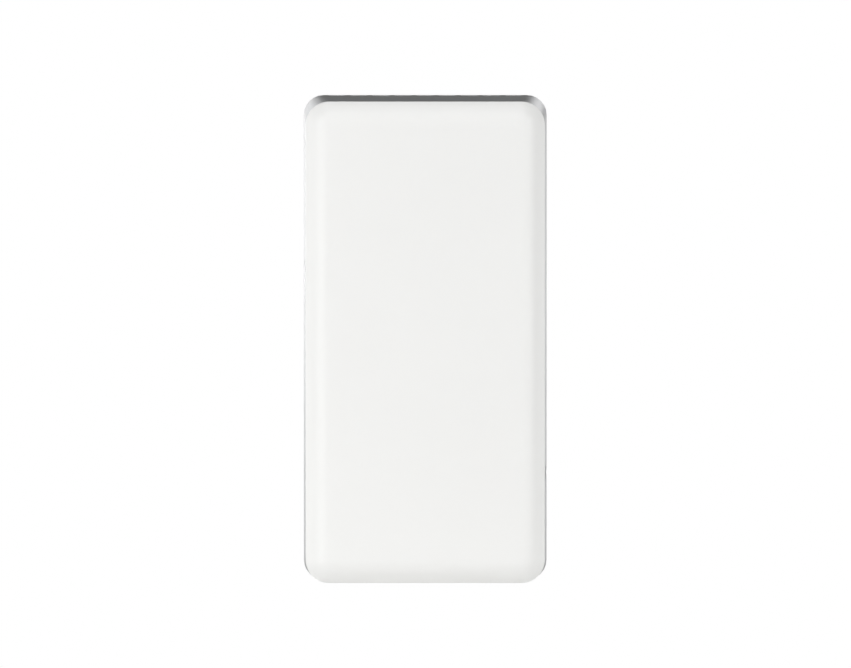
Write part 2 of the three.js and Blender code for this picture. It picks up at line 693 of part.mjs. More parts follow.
// The blocky parts on each board: extent across, extent up and height above the board.
const POWER_PARTS = [
  { part: "input relay", x: [-190, -150], z: [50, 80], tall: 24 },
  { part: "output relay", x: [-140, -100], z: [50, 80], tall: 24 },
  { part: "grid relay", x: [120, 190], z: [55, 100], tall: 34 },
  { part: "transformer", x: [-30, 30], z: [60, 110], tall: 20 },
  { part: "film capacitors", x: [60, 100], z: [55, 95], tall: 16 },
  { part: "snubber capacitors", x: [-60, 60], z: [130, 140], tall: 12 },
  { part: "direct current connector", x: [-200, -170], z: [300, 332], tall: 18 },
  { part: "alternating current connector", x: [150, 200], z: [300, 332], tall: 18 },
];
const CONTROL_PARTS = [
  { part: "processor", x: [-60, -10], z: [420, 470], tall: 6 },
  { part: "memory", x: [10, 40], z: [430, 460], tall: 4 },
  { part: "right connector", x: [60, 105], z: [385, 400], tall: 14 },
  { part: "left connector", x: [-110, -60], z: [385, 400], tall: 12 },
  { part: "middle connector", x: [-40, 20], z: [385, 399], tall: 12 },
  { part: "radio shield", x: [55, 110], z: [450, 495], tall: 8 },
];
const BMS_PARTS = [
  { part: "sense connector", x: [-190, -100], z: [-62, -52], tall: 12 },
  { part: "second sense connector", x: [-80, 20], z: [-62, -52], tall: 12 },
  { part: "controller", x: [-150, -120], z: [-20, 10], tall: 4 },
  { part: "second controller", x: [-90, -60], z: [-30, 0], tall: 4 },
  { part: "current shunt", x: [-40, 30], z: [-15, 10], tall: 10 },
];
const SWITCH_MODULES = { x: [-95, -35, 35, 95], half: 20, z0: 120, z1: 150, frontY: -61, rearY: -44 };

// A board on four posts, with its parts on the front.
function board({ x: [x0, x1], z: [z0, z1], rearY }, parts) {
  const { sheet, postRadius, postInset } = BOARD;
  const posts = [];
  for (const x of [x0 + postInset, x1 - postInset]) {
    for (const z of [z0 + postInset, z1 - postInset]) {
      posts.push(bar("y", postRadius, rearY - 1, WEB_FRONT_Y - GAP, x, z, 8));
    }
  }
  const blocks = parts.map(({ x, z, tall }) => block(...x, rearY - tall, rearY - 1, ...z));
  return join(block(x0, x1, rearY - sheet, rearY, z0, z1), ...posts, ...blocks);
}

function powerBoard() {
  const { half, z0, z1, frontY, rearY } = SWITCH_MODULES;
  const modules = SWITCH_MODULES.x.map((x) => block(x - half, x + half, frontY, rearY, z0, z1));
  return join(board({ x: [-205, 205], z: [40, 340], rearY: -60 }, POWER_PARTS), ...modules);
}

function controlBoard() {
  return board({ x: [-120, 120], z: [375, 505], rearY: -50 }, CONTROL_PARTS);
}

function bmsBoard() {
  return board({ x: [-205, 40], z: [-70, 25], rearY: -50 }, BMS_PARTS);
}

function contactor() {
  const { x, halfWidth, lowZ, highZ, frontY } = CONTACTOR;
  const rear = WEB_FRONT_Y - GAP;
  const shell = block(x - halfWidth, x + halfWidth, frontY, rear, lowZ, highZ);
  const skirtX = CONTACTOR_SKIRT.halfWidth;
  const skirt = block(x - skirtX, x + skirtX, CONTACTOR_SKIRT.frontY, rear, lowZ, highZ);
  const { radius, frontY: studY } = CONTACTOR_STUD;
  const studs = CONTACTOR_STUD.z.map((z) => bar("y", radius, studY, frontY + 1, x, z, 10));
  const barrier = PHASE_BARRIER;
  const fin = block(x - halfWidth, x + halfWidth, barrier.frontY, frontY + 1, barrier.lowZ, barrier.highZ);
  return join(shell, skirt, ...studs, fin);
}

function mainFuse() {
  const { x, y, lowZ, highZ, radius, capRadius, cap } = FUSE;
  const foot = FUSE_BASE;
  const base = block(foot.x0, foot.x1, foot.frontY, WEB_FRONT_Y - GAP, foot.lowZ, foot.highZ);
  const barrel = bar("z", radius, lowZ + 4, highZ - 4, x, y, 16);
  const lowCap = bar("z", capRadius, lowZ, lowZ + cap, x, y, 16);
  const highCap = bar("z", capRadius, highZ - cap, highZ, x, y, 16);
  const { halfWidth, height, overlap } = FUSE_BLADE;
  const blades = [lowZ + overlap - height, highZ - overlap].map((z) =>
    block(x - halfWidth, x + halfWidth, y - 2, foot.frontY + 1, z, z + height),
  );
  return join(base, barrel, lowCap, highCap, ...blades);
}

// A ring of wound wire with rounded shoulders.
function inductor() {
  const { outer, inner, rearY, frontY, chamfer } = INDUCTOR;
  return turned([
    [inner, frontY + chamfer],
    [inner + chamfer, frontY],
    [outer - chamfer, frontY],
    [outer, frontY + chamfer],
    [outer, rearY - chamfer],
    [outer - chamfer, rearY],
    [inner + chamfer, rearY],
    [inner, rearY - chamfer],
    [inner, frontY + chamfer],
  ]);
}

function capacitorBank() {
  const { x0, x1, z0, z1, thick } = CAPACITOR_BASE;
  const { radius, x: across, z, rearY, frontY } = CAPACITOR;
  const foot = rearY - thick;
  const cans = across.map((x) => bar("y", radius, frontY, foot + 1, x, z, 16));
  return join(block(x0, x1, foot, rearY, z0, z1), ...cans);
}

// ---- Wiring bay ----

function bayDivider() {
  const { halfWidth, frontY } = DIVIDER;
  const low = BAY_ROOF_Z - WALL;
  const sheet = block(-halfWidth, halfWidth, frontY, WEB_FRONT_Y - GAP, low, BAY_ROOF_Z);
  const port = DIVIDER_PORT;
  return cut(sheet, block(port.x0, port.x1, port.frontY, port.rearY, low - 5, BAY_ROOF_Z + 5));
}

function dinRail() {
  const { z, frontY, length, sheet, halfWeb, halfHeight } = RAIL;
  const rear = WEB_FRONT_Y - GAP;
  const inner = halfWeb - sheet;
  return section(
    [
      [rear, z - halfWeb],
      [frontY + sheet, z - halfWeb],
      [frontY + sheet, z - halfHeight],
      [frontY, z - halfHeight],
      [frontY, z - inner],
      [rear - sheet, z - inner],
      [rear - sheet, z + inner],
      [frontY, z + inner],
      [frontY, z + halfHeight],
      [frontY + sheet, z + halfHeight],
      [frontY + sheet, z + halfWeb],
      [rear, z + halfWeb],
    ],
    length,
  );
}

function breakerBody() {
  const { width, pivotY, half, noseHalf, noseY, shoulderY } = BREAKER;
  const { z, frontY } = RAIL;
  const rear = frontY - GAP;
  const shell = section(
    [
      [rear, z - half],
      [rear, z + half],
      [shoulderY, z + half],
      [shoulderY, z + noseHalf],
      [noseY, z + noseHalf],
      [noseY, z - noseHalf],
      [shoulderY, z - noseHalf],
      [shoulderY, z - half],
    ],
    width,
  );
  const { radius, halfWidth } = BREAKER_SLOT;
  const well = bar("x", radius, -halfWidth, halfWidth, pivotY, z, 20);
  const mouth = block(-halfWidth, halfWidth, pivotY - 12, pivotY, z - radius, z + radius);
  return cut(shell, join(well, mouth), ...breakerScrewHoles());
}

function breakerScrewHoles() {
  const holes = [];
  for (const x of [-9, 9]) {
    for (const z of [RAIL.z - 31, RAIL.z + 31]) {
      holes.push(bar("y", 4, BREAKER.shoulderY - 4, BREAKER.shoulderY + 4, x, z, 8));
    }
  }
  return holes;
}

// The lever stands above level when the breaker is closed.
function breakerLever() {
  const { drumRadius, drumHalf, width, length, thick, middle, closed } = LEVER;
  const drum = bar("x", drumRadius, -drumHalf, drumHalf, 0, 0, 20);
  const handle = new THREE.BoxGeometry(width, length, thick).translate(0, -middle, 0);
  return join(drum, solid(handle.rotateX(-THREE.MathUtils.degToRad(closed))));
}

function acTerminalBlock() {
  const { poles, pitch, halfHeight, frontY } = TERMINALS;
  const half = (poles * pitch) / 2;
  const { z } = RAIL;
  const { radius, rise, bottomY } = CLAMP_HOLE;
  const mouth = WIRE_MOUTH;
  const cuts = [];
  for (let i = 0; i < poles; i++) {
    const x = (i - (poles - 1) / 2) * pitch;
    cuts.push(
      bar("y", radius, frontY - 4, bottomY, x, z + rise, 8),
      block(x - mouth.halfWidth, x + mouth.halfWidth, frontY - 2, mouth.bottomY, z - 30, z - mouth.below),
    );
  }
  return cut(block(-half, half, frontY, RAIL.frontY - GAP, z - halfHeight, z + halfHeight), ...cuts);
}

function groundStud() {
  const { radius, length, foot, nutRadius, nutRise, nut } = GROUND_STUD;
  const rear = WEB_FRONT_Y - GAP;
  return join(
    block(-foot, foot, rear - 3, rear, -foot, foot),
    bar("y", radius, rear - length, rear - 2, 0, 0, 16),
    bar("y", nutRadius, rear - nutRise - nut, rear - nutRise, 0, 0, 6),
  );
}

// ---- Assembly ----

add("wall_bracket", wallBracket(), "steel", battery);
add("rear_housing", rearHousing(), "housing");
add("front_cover", frontCover(), "cover");
add("service_lid", serviceLid(), "lid");
add("lid_gasket", lidGasket(), "rubber");
add("heat_sink", heatSink(), "aluminium");
add("button_bezel", buttonBezel(), "steel");
add("button_light_ring", buttonLightRing(), "light");
add("power_button", powerButton(), "black");
add("gland_power", gland(POWER_GLAND), "black", body, POWER_GLAND.x, GLANDS_Y, 0);
add("gland_comms", gland(COMMS_GLAND), "black", body, COMMS_GLAND.x, GLANDS_Y, 0);
add("breather_valve", breatherValve(), "black", body, BREATHER.x, GLANDS_Y, 0);
add("battery_tray", batteryTray(), "steel");
add("bms_board", bmsBoard(), "circuit");
add("contactor", contactor(), "black");
add("main_fuse", mainFuse(), "ceramic");
add("power_board", powerBoard(), "circuit");
add("control_board", controlBoard(), "circuit");
add("capacitor_bank", capacitorBank(), "black");
add("bay_divider", bayDivider(), "steel");
add("din_rail", dinRail(), "steel");
add("breaker_body", breakerBody(), "grey", body, BREAKER.x, 0, 0);
add("breaker_lever", breakerLever(), "lever", body, BREAKER.x, BREAKER.pivotY, RAIL.z);
add("ac_terminal_block", acTerminalBlock(), "grey", body, TERMINALS.x, 0, 0);
add("ground_stud", groundStud(), "brass", body, GROUND_STUD.x, 0, RAIL.z);

for (const [side, name] of [[-1, "left"], [1, "right"]]) {
  add("hook_" + name, hook(), "steel", body, side * HOOK.x, 0, 0);
  add("bumper_" + name, bumper(), "rubber", body, side * BUMPER.x, 0, BUMPER.z);
  add("blower_" + name, blowerCase(), "black", body, side * BLOWER.x, 0, BLOWER.z);
  add("impeller_" + name, impeller(), "grey", body, side * BLOWER.x, 0, BLOWER.z);
  add("grip_cup_" + name, gripCup(side), "black");
  add("inductor_" + name, inductor(), "copper", body, INDUCTORS[name].x, 0, INDUCTORS[name].z);
}

[[0, "lower"], [1, "upper"]].forEach(([row, name]) => {
  const rowZ = LOWER_ROW_Z + row * ROW_PITCH;
  add("tie_strap_" + name, tieStrap(), "steel", body, 0, 0, rowZ);
  add("busbar_carrier_" + name, busbarCarrier(), "black", body, 0, 0, rowZ);
  for (let i = 0; i < CELLS_PER_ROW; i++) {
    const number = String(row * CELLS_PER_ROW + i + 1).padStart(2, "0");
    add("cell_" + number, cell(), "cell", body, cellX(i), 0, rowZ);
  }
});

const endPlateX = STACK_HALF + STACK_GAP;
add("end_plate_right", endPlate(), "aluminium", body, endPlateX, 0, 0);
add("end_plate_left", endPlate(), "aluminium", body, -endPlateX, 0, 0).scale.x = -1;

export default battery;
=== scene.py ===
import json
import math
import random

import bmesh
import bpy
from mathutils import Matrix, Vector


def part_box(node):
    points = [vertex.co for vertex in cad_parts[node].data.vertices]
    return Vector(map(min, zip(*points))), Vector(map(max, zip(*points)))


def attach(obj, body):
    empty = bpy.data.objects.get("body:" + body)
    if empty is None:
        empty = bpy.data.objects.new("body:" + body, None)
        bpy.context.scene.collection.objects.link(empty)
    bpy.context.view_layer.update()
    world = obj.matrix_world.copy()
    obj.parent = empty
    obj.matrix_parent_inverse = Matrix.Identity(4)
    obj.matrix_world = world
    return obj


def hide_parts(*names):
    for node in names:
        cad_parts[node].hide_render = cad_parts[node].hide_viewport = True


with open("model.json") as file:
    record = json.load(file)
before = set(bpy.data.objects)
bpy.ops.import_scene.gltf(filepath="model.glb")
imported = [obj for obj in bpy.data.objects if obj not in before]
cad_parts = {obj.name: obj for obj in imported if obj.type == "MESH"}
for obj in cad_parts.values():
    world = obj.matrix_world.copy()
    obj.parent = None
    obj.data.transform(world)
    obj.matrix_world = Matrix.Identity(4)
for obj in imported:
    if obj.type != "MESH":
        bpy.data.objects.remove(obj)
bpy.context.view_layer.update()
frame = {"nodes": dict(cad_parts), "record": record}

MM = 0.001
BODY_Z = -0.3  # height of the body's centre
random.seed(7)


# ---- Materials ----

class Shade:
    """A Principled material under construction. Patterns are placed in the row frame, in metres."""

    def __init__(self, name, colour, roughness, metallic=0.0):
        self.material = bpy.data.materials.new(name)
        self.material.use_nodes = True
        self.tree = self.material.node_tree
        self.bsdf = self.tree.nodes["Principled BSDF"]
        self.place = self.node("ShaderNodeTexCoord").outputs["Object"]
        self.bsdf.inputs["Base Color"].default_value = (*colour, 1)
        self.bsdf.inputs["Roughness"].default_value = roughness
        self.bsdf.inputs["Metallic"].default_value = metallic
        self.height = None
        self.colour = colour

    def node(self, kind, **values):
        made = self.tree.nodes.new(kind)
        for key, value in values.items():
            setattr(made, key, value)
        return made

    def link(self, source, target):
        self.tree.links.new(source, target)

    def noise(self, scale, detail=3.0, roughness=0.55, stretch=(1, 1, 1)):
        mapping = self.node("ShaderNodeMapping")
        mapping.inputs["Scale"].default_value = stretch
        self.link(self.place, mapping.inputs["Vector"])
        texture = self.node("ShaderNodeTexNoise")
        texture.inputs["Scale"].default_value = scale
        texture.inputs["Detail"].default_value = detail
        texture.inputs["Roughness"].default_value = roughness
        self.link(mapping.outputs["Vector"], texture.inputs["Vector"])
        return texture.outputs["Fac"]

    def cells(self, scale):
        texture = self.node("ShaderNodeTexVoronoi")
        texture.inputs["Scale"].default_value = scale
        self.link(self.place, texture.inputs["Vector"])
        return texture.outputs["Distance"]

    def remap(self, value, low, high, start=0.3, end=0.7):
        ramp = self.node("ShaderNodeMapRange", clamp=True)
        for key, number in (("From Min", start), ("From Max", end), ("To Min", low), ("To Max", high)):
            ramp.inputs[key].default_value = number
        self.link(value, ramp.inputs["Value"])
        return ramp.outputs["Result"]

    def tint(self, value, other, start=0.3, end=0.7):
        """Mixes the colour so far with another where the pattern is high."""
        mix = self.node("ShaderNodeMix", data_type="RGBA")
        socket = self.bsdf.inputs["Base Color"]
        if socket.is_linked:
            self.link(socket.links[0].from_socket, mix.inputs[6])
        else:
            mix.inputs[6].default_value = (*self.colour, 1)
        mix.inputs[7].default_value = (*other, 1)
        self.link(self.remap(value, 0, 1, start, end), mix.inputs[0])
        self.link(mix.outputs[2], socket)
        return self

    def shade(self, value, spread):
        """Darkens the colour by a share of itself where the pattern is high."""
        return self.tint(value, tuple(c * (1 - spread) for c in self.colour))

    def polish(self, value, low, high, start=0.3, end=0.7):
        self.link(self.remap(value, low, high, start, end), self.bsdf.inputs["Roughness"])
        return self

    def relief(self, value, depth, strength=1.0):
        """Bumps of that depth in metres, on top of those made before."""
        bump = self.node("ShaderNodeBump")
        bump.inputs["Strength"].default_value = strength
        bump.inputs["Distance"].default_value = depth
        self.link(value, bump.inputs["Height"])
        if self.height:
            self.link(self.height, bump.inputs["Normal"])
        self.height = bump.outputs["Normal"]
        self.link(self.height, self.bsdf.inputs["Normal"])
        return self

    def set(self, **values):
        for key, value in values.items():
            self.bsdf.inputs[key.replace("_", " ")].default_value = value
        return self


def moulded(name, colour, roughness, texture=1400, depth=0.00004):
    """Moulded plastic with a fine spark-eroded texture."""
    shade = Shade(name, colour, roughness)
    shade.shade(shade.noise(9), 0.06).polish(shade.noise(40), roughness - 0.06, roughness + 0.06)
    shade.relief(shade.cells(texture), depth)
    return shade.material


def coated(name, colour, roughness, metallic):
    """Powder coat: fine orange peel, slight unevenness of gloss."""
    shade = Shade(name, colour, roughness, metallic)
    shade.shade(shade.noise(5), 0.02).polish(shade.noise(22), roughness - 0.015, roughness + 0.015)
    shade.relief(shade.noise(420, 2), 0.00006).relief(shade.noise(1800, 2), 0.00002)
    return shade.set(Specular_IOR_Level=0.25).material


def cover_plastic():
    shade = Shade("cover_white", (0.875, 0.875, 0.862), 0.5)
    shade.shade(shade.noise(3.5), 0.008).polish(shade.noise(30), 0.46, 0.54)
    shade.relief(shade.cells(1500), 0.00002).relief(shade.noise(700, 2), 0.00002)
    return shade.set(Specular_IOR_Level=0.4).material


def zinc():
    """Bright zinc plate with its faint spangle."""
    shade = Shade("zinc_steel", (0.60, 0.61, 0.62), 0.38, 1.0)
    spangle = shade.cells(140)
    shade.tint(spangle, (0.565, 0.575, 0.585), 0.1, 0.8).polish(spangle, 0.37, 0.40, 0.1, 0.8)
    shade.relief(shade.noise(500, 2), 0.00002)
    return shade.material


def brushed(name, colour, roughness, stretch, grain=1.0):
    """Drawn metal, with lines along the axis of the small stretch; grain is how much they show."""
    shade = Shade(name, colour, roughness, 1.0)
    lines = shade.noise(260, 4, 0.6, stretch)
    shade.shade(lines, 0.12 * grain)
    shade.polish(lines, roughness - 0.07 * grain, roughness + 0.09 * grain)
    shade.relief(lines, 0.00003 * grain)
    return shade.material


def rubber():
    shade = Shade("rubber", (0.022, 0.022, 0.023), 0.8)
    shade.tint(shade.noise(25), (0.045, 0.044, 0.042), 0.45, 0.8)
    shade.polish(shade.noise(60), 0.7, 0.9).relief(shade.noise(900, 2), 0.00004)
    return shade.material


def cell_film():
    """Blue shrink film over an aluminium can."""
    shade = Shade("cell_wrap", (0.035, 0.12, 0.36), 0.28)
    shade.shade(shade.noise(14), 0.12).polish(shade.noise(30), 0.22, 0.36)
    shade.relief(shade.noise(28, 3, 0.6, (1, 1, 0.15)), 0.0002, 0.5)
    return shade.set(Coat_Weight=0.3, Coat_Roughness=0.15).material


def solder_mask():
    """Green board: copper tracks under the mask, in blocks."""
    shade = Shade("circuit_board", (0.012, 0.10, 0.045), 0.36)
    tracks = shade.node("ShaderNodeTexBrick", offset=0.37)
    mapping = shade.node("ShaderNodeMapping")
    mapping.inputs["Rotation"].default_value = (math.pi / 2, 0, 0)
    shade.link(shade.place, mapping.inputs["Vector"])
    shade.link(mapping.outputs["Vector"], tracks.inputs["Vector"])
    sizes = (("Scale", 60), ("Mortar Size", 0.045), ("Brick Width", 0.9), ("Row Height", 0.16))
    for key, value in sizes:
        tracks.inputs[key].default_value = value
    shade.tint(tracks.outputs["Fac"], (0.02, 0.17, 0.075), 0.0, 1.0)
    shade.tint(shade.noise(18), (0.01, 0.075, 0.04), 0.45, 0.75)
    shade.relief(tracks.outputs["Fac"], 0.00005)
    return shade.polish(shade.noise(50), 0.28, 0.42).material


def enamelled_copper():
    shade = Shade("copper", (0.55, 0.235, 0.085), 0.3, 0.9)
    shade.shade(shade.noise(120), 0.3).polish(shade.noise(200), 0.22, 0.4)
    return shade.set(Coat_Weight=0.5, Coat_Roughness=0.12).material


def light_guide():
    shade = Shade("light_guide", (0.70, 0.80, 0.75), 0.35)
    shade.shade(shade.noise(200), 0.05)
    return shade.set(Emission_Color=(0.25, 0.9, 0.5, 1), Emission_Strength=0.15).material


MATERIALS = {
    "cover_white": cover_plastic(),
    "housing_paint": coated("housing_paint", (0.62, 0.625, 0.63), 0.42, 0.8),
    "lid_sheet": brushed("lid_sheet", (0.66, 0.67, 0.68), 0.36, (0.03, 1, 1)),
    "zinc_steel": zinc(),
    "bezel_metal": coated("bezel_metal", (0.72, 0.725, 0.73), 0.42, 0.6),
    "bare_aluminium": brushed("bare_aluminium", (0.68, 0.69, 0.70), 0.34, (1, 1, 0.04)),
    "black_moulding": moulded("black_moulding", (0.030, 0.031, 0.033), 0.5),
    "grey_moulding": moulded("grey_moulding", (0.30, 0.31, 0.32), 0.5),
    "rubber": rubber(),
    "cell_wrap": cell_film(),
    "circuit_board": solder_mask(),
    "copper": enamelled_copper(),
    "copper_bar": brushed("copper_bar", (0.80, 0.42, 0.26), 0.30, (0.3, 1, 1), 0.2),
    "ceramic": moulded("ceramic", (0.72, 0.70, 0.66), 0.35, 900, 0.00002),
    "brass": brushed("brass", (0.66, 0.47, 0.20), 0.3, (1, 1, 1), 0.3),
    "light_guide": light_guide(),
}


# ---- Dressing the CAD nodes ----

def modifier(piece, kind, **values):
    made = piece.modifiers.new(kind.title().replace("_", ""), kind)
    for key, value in values.items():
        setattr(made, key, value)


def smooth(piece, angle=30):
    piece.data.polygons.foreach_set("use_smooth", [True] * len(piece.data.polygons))
    piece.data.set_sharp_from_angle(angle=math.radians(angle))


def round_edges(piece, width, segments=2):
    """Merges the flat triangles, rounds the edges and shades flats flat and curves smooth."""
    modifier(piece, "DECIMATE", decimate_type="DISSOLVE", angle_limit=math.radians(0.6))
    modifier(piece, "BEVEL", width=width, segments=segments, limit_method="ANGLE",
             angle_limit=math.radians(32), use_clamp_overlap=False)
    modifier(piece, "WEIGHTED_NORMAL", weight=50)


WELD_REACH = 0.000002  # metres; joins the corners that the CAD meshes repeat in each face
EDGE_RADIUS = {  # millimetres, by material slot
    "cover_white": 0.5, "housing_paint": 0.5, "lid_sheet": 0.5, "zinc_steel": 0.4, "bezel_metal": 0.3,
    "bare_aluminium": 0.25, "black_moulding": 0.4, "grey_moulding": 0.4, "rubber": 0.4, "cell_wrap": 1.2,
    "circuit_board": 0.25, "copper": 0.4, "copper_bar": 0.4, "ceramic": 0.6, "brass": 0.3,
    "light_guide": 0.2,
}

slot_of = {part["node"]: part["material_slot"] for part in frame["record"]["subparts"]}
for name, piece in frame["nodes"].items():
    piece.data.materials.clear()
    piece.data.materials.append(MATERIALS[slot_of[name]])
    smooth(piece)
    modifier(piece, "WELD", merge_threshold=WELD_REACH)
    round_edges(piece, EDGE_RADIUS[slot_of[name]] * MM)


# ---- Shapes for the finer pieces ----

def place(node):
    """A node's box in millimetres about the unit's middle: x0, x1, y0, y1, z0, z1."""
    low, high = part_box(node)
    lift = BODY_Z / MM
    return low[0] / MM, high[0] / MM, low[1] / MM, high[1] / MM, low[2] / MM - lift, high[2] / MM - lift


def middle(node):
    x0, x1, y0, y1, z0, z1 = place(node)
    return (x0 + x1) / 2, (y0 + y1) / 2, (z0 + z1) / 2


# For a shape drawn about an axis: where its two coordinates across it and the one along it point.
AXES = {
    "x": Matrix(((0, 0, 1), (1, 0, 0), (0, 1, 0))),
    "y": Matrix(((1, 0, 0), (0, 0, 1), (0, 1, 0))),
    "z": Matrix.Identity(3),
}


class Shape:
    """One mesh made of many closed solids, in millimetres about the unit's middle."""

    TRIM = 0.03  # keeps the faces of a bar's lengths apart where they cross

    def __init__(self):
        self.mesh = bmesh.new()

    def bridge(self, first, second):
        """Faces between two rings; a ring of one corner makes a fan."""
        for i in range(max(len(first), len(second))):
            corners = []
            for ring, index in ((first, i), (first, i + 1), (second, i + 1), (second, i)):
                corner = ring[index % len(ring)]
                if corner not in corners:
                    corners.append(corner)
            self.mesh.faces.new(corners)

    def skin(self, rings, closed=False):
        """Joins rings of points in turn. The ends are capped, or closed joins the last to the first."""
        made = [[self.mesh.verts.new(point) for point in ring] for ring in rings]
        for first, second in zip(made, made[1:]):
            self.bridge(first, second)
        if closed:
            self.bridge(made[-1], made[0])
        else:
            for ring in (made[0], made[-1]):
                if len(ring) > 2:
                    self.mesh.faces.new(ring)
        return self

    def box(self, x0, x1, y0, y1, z0, z1):
        centre = Vector((x0 + x1, y0 + y1, z0 + z1)) / 2
        matrix = Matrix.Translation(centre) @ Matrix.Diagonal((x1 - x0, y1 - y0, z1 - z0, 1))
        bmesh.ops.create_cube(self.mesh, size=1, matrix=matrix)
        return self

    def lathe(self, profile, axis, centre, sides=32, closed=False, flute=None):
        """Turns (radius, along) points about an axis through the centre; flute scales the radius."""
        rings = []
        for radius, along in profile:
            ring = []
            for i in range(1 if radius == 0 else sides):
                angle = 2 * math.pi * i / sides
                reach = radius * (flute(angle) if flute else 1)
                point = Vector((reach * math.cos(angle), reach * math.sin(angle), along))
                ring.append(Vector(centre) + AXES[axis] @ point)
            rings.append(ring)
        return self.skin(rings, closed)

    def prism(self, points, axis, start, end):
        """An outline drawn across an axis, carried from one coordinate along it to another."""
        return self.skin([[AXES[axis] @ Vector((a, b, along)) for a, b in points]
                          for along in (start, end)])

    def run(self, points, width, thick):
        """A flat bar through points, each along one axis from the one before, with square corners.

        It lies flat in the x z plane, and where it runs along y it is flat across the length beside it.
        """
        axes = [max(range(3), key=lambda k: abs(b[k] - a[k])) for a, b in zip(points, points[1:])]
        flats = []
        for i, axis in enumerate(axes):
            beside = axes[max(i - 1, 0):i + 2]
            flats.append(1 if axis != 1 else 2 if 2 in beside else 0)
        for i, (start, end) in enumerate(zip(points, points[1:])):
            trim = self.TRIM * (i % 2)
            sides = []
            for k in range(3):
                if k != axes[i]:
                    pad = (thick if k == flats[i] else width) / 2 - trim
                    sides.append((start[k] - pad, start[k] + pad))
                    continue
                ends = []
                for at, other in ((start, i - 1), (end, i + 1)):
                    turns = 0 <= other < len(axes) and flats[other] == flats[i]
                    ends.append((at[k], (width if turns else thick) / 2 - trim))
                (low, low_pad), (high, high_pad) = sorted(ends)
                sides.append((low - low_pad, high + high_pad))
            self.box(*sides[0], *sides[1], *sides[2])
        return self

    def loop(self, path, across, radius, sides=6):
        """A closed wire through points that lie in one plane; across is the plane's normal."""
        rings = []
        for i, point in enumerate(path):
            ahead = (path[(i + 1) % len(path)] - path[i - 1]).normalized()
            side = ahead.cross(across)
            angles = [2 * math.pi * k / sides for k in range(sides)]
            rings.append([point + radius * (math.cos(a) * across + math.sin(a) * side) for a in angles])
        return self.skin(rings, closed=True)

    def screw(self, axis, centre, radius, height, facing=-1):
        """A pan head with a round socket; facing is the head's direction along its axis."""
        profile = [
            (0, 0), (radius, 0), (radius, height * 0.5), (radius * 0.86, height * 0.85),
            (radius * 0.6, height), (radius * 0.46, height), (radius * 0.42, height * 0.35),
            (0, height * 0.35),
        ]
        return self.lathe([(r, facing * a) for r, a in profile], axis, centre, 18)

    def nut(self, axis, centre, radius, height, bolt, facing=-1):
        """A hexagon nut with the bolt's rounded end through it."""
        hexagon = [(0, 0), (radius, 0), (radius, height * 0.8), (radius * 0.9, height), (0, height)]
        self.lathe([(r, facing * a) for r, a in hexagon], axis, centre, 6)
        tip = [(0, 0.5), (bolt, 0.5), (bolt, height + 1.6), (bolt * 0.7, height + 2.2), (0, height + 2.2)]
        return self.lathe([(r, facing * a) for r, a in tip], axis, centre, 14)

    def piece(self, name, body, slot, replaces=None, edge=0.3, angle=30):
        """Turns the solids into a piece that rides on a body."""
        bmesh.ops.recalc_face_normals(self.mesh, faces=self.mesh.faces)
        self.mesh.transform(Matrix.Translation((0, 0, BODY_Z)) @ Matrix.Scale(MM, 4))
        data = bpy.data.meshes.new(name)
        self.mesh.to_mesh(data)
        self.mesh.free()
        made = bpy.data.objects.new(name, data)
        bpy.context.collection.objects.link(made)
        data.materials.append(MATERIALS[slot])
        smooth(made, angle)
        if edge:
            round_edges(made, edge * MM)
        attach(made, body)
        if replaces:
            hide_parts(replaces)
        return made


def rounded(half_width, half_height, corner, steps):
    """Points of a rounded rectangle about (0, 0)."""
    points = []
    for quarter, (sx, sz) in enumerate(((1, 1), (-1, 1), (-1, -1), (1, -1))):
        for i in range(steps + 1):
            angle = (quarter + i / steps) * math.pi / 2
            x = sx * (half_width - corner) + corner * math.cos(angle)
            points.append((x, sz * (half_height - corner) + corner * math.sin(angle)))
    return points


# ---- Front cover and service lid ----

COVER_CORNER = 53
COVER_SKIN = 3
COVER_RIM = -172.6  # the y of the cover's rear edge
LID_FACE = -172.4  # the y of the lid's flange, where its screws sit
SLOPE_WIDTH = 18  # the straight part of the cover's edge, from the rim inwards
EDGE_WIDTH = 52  # from the rim to the flat face
EDGE_ARC = 52.9  # the radius between slope and face
RIB_MARGIN = 58  # from the rim to the ends of the ribs
SCREW_INSET = 19.5  # from the cover's rim to the lid's screws
CLIPS = [(x, z) for x in (-190, 190) for z in (-440, 440)]


def cover_size():
    x0, x1, face, lip, z0, z1 = place("front_cover")
    return (x1 - x0) / 2, (z1 - z0) / 2, face, lip


def cover_arc(skin, steps=14):
    """(inset, y) from the end of the slope round to the face, skin millimetres under the surface."""
    centre = cover_size()[2] + EDGE_ARC
    start = math.asin((EDGE_WIDTH - SLOPE_WIDTH) / EDGE_ARC)
    radius = EDGE_ARC - skin
    angles = [start * (1 - i / steps) for i in range(steps + 1)]
    return [(EDGE_WIDTH - radius * math.sin(a), centre - radius * math.cos(a)) for a in angles]


def cover_rings(profile, steps=20):
    half_width, half_height, _, _ = cover_size()
    rings = []
    for inset, y in profile:
        points = rounded(half_width - inset, half_height - inset, max(COVER_CORNER - inset, 0.5), steps)
        rings.append([Vector((x, y, z)) for x, z in points])
    return rings


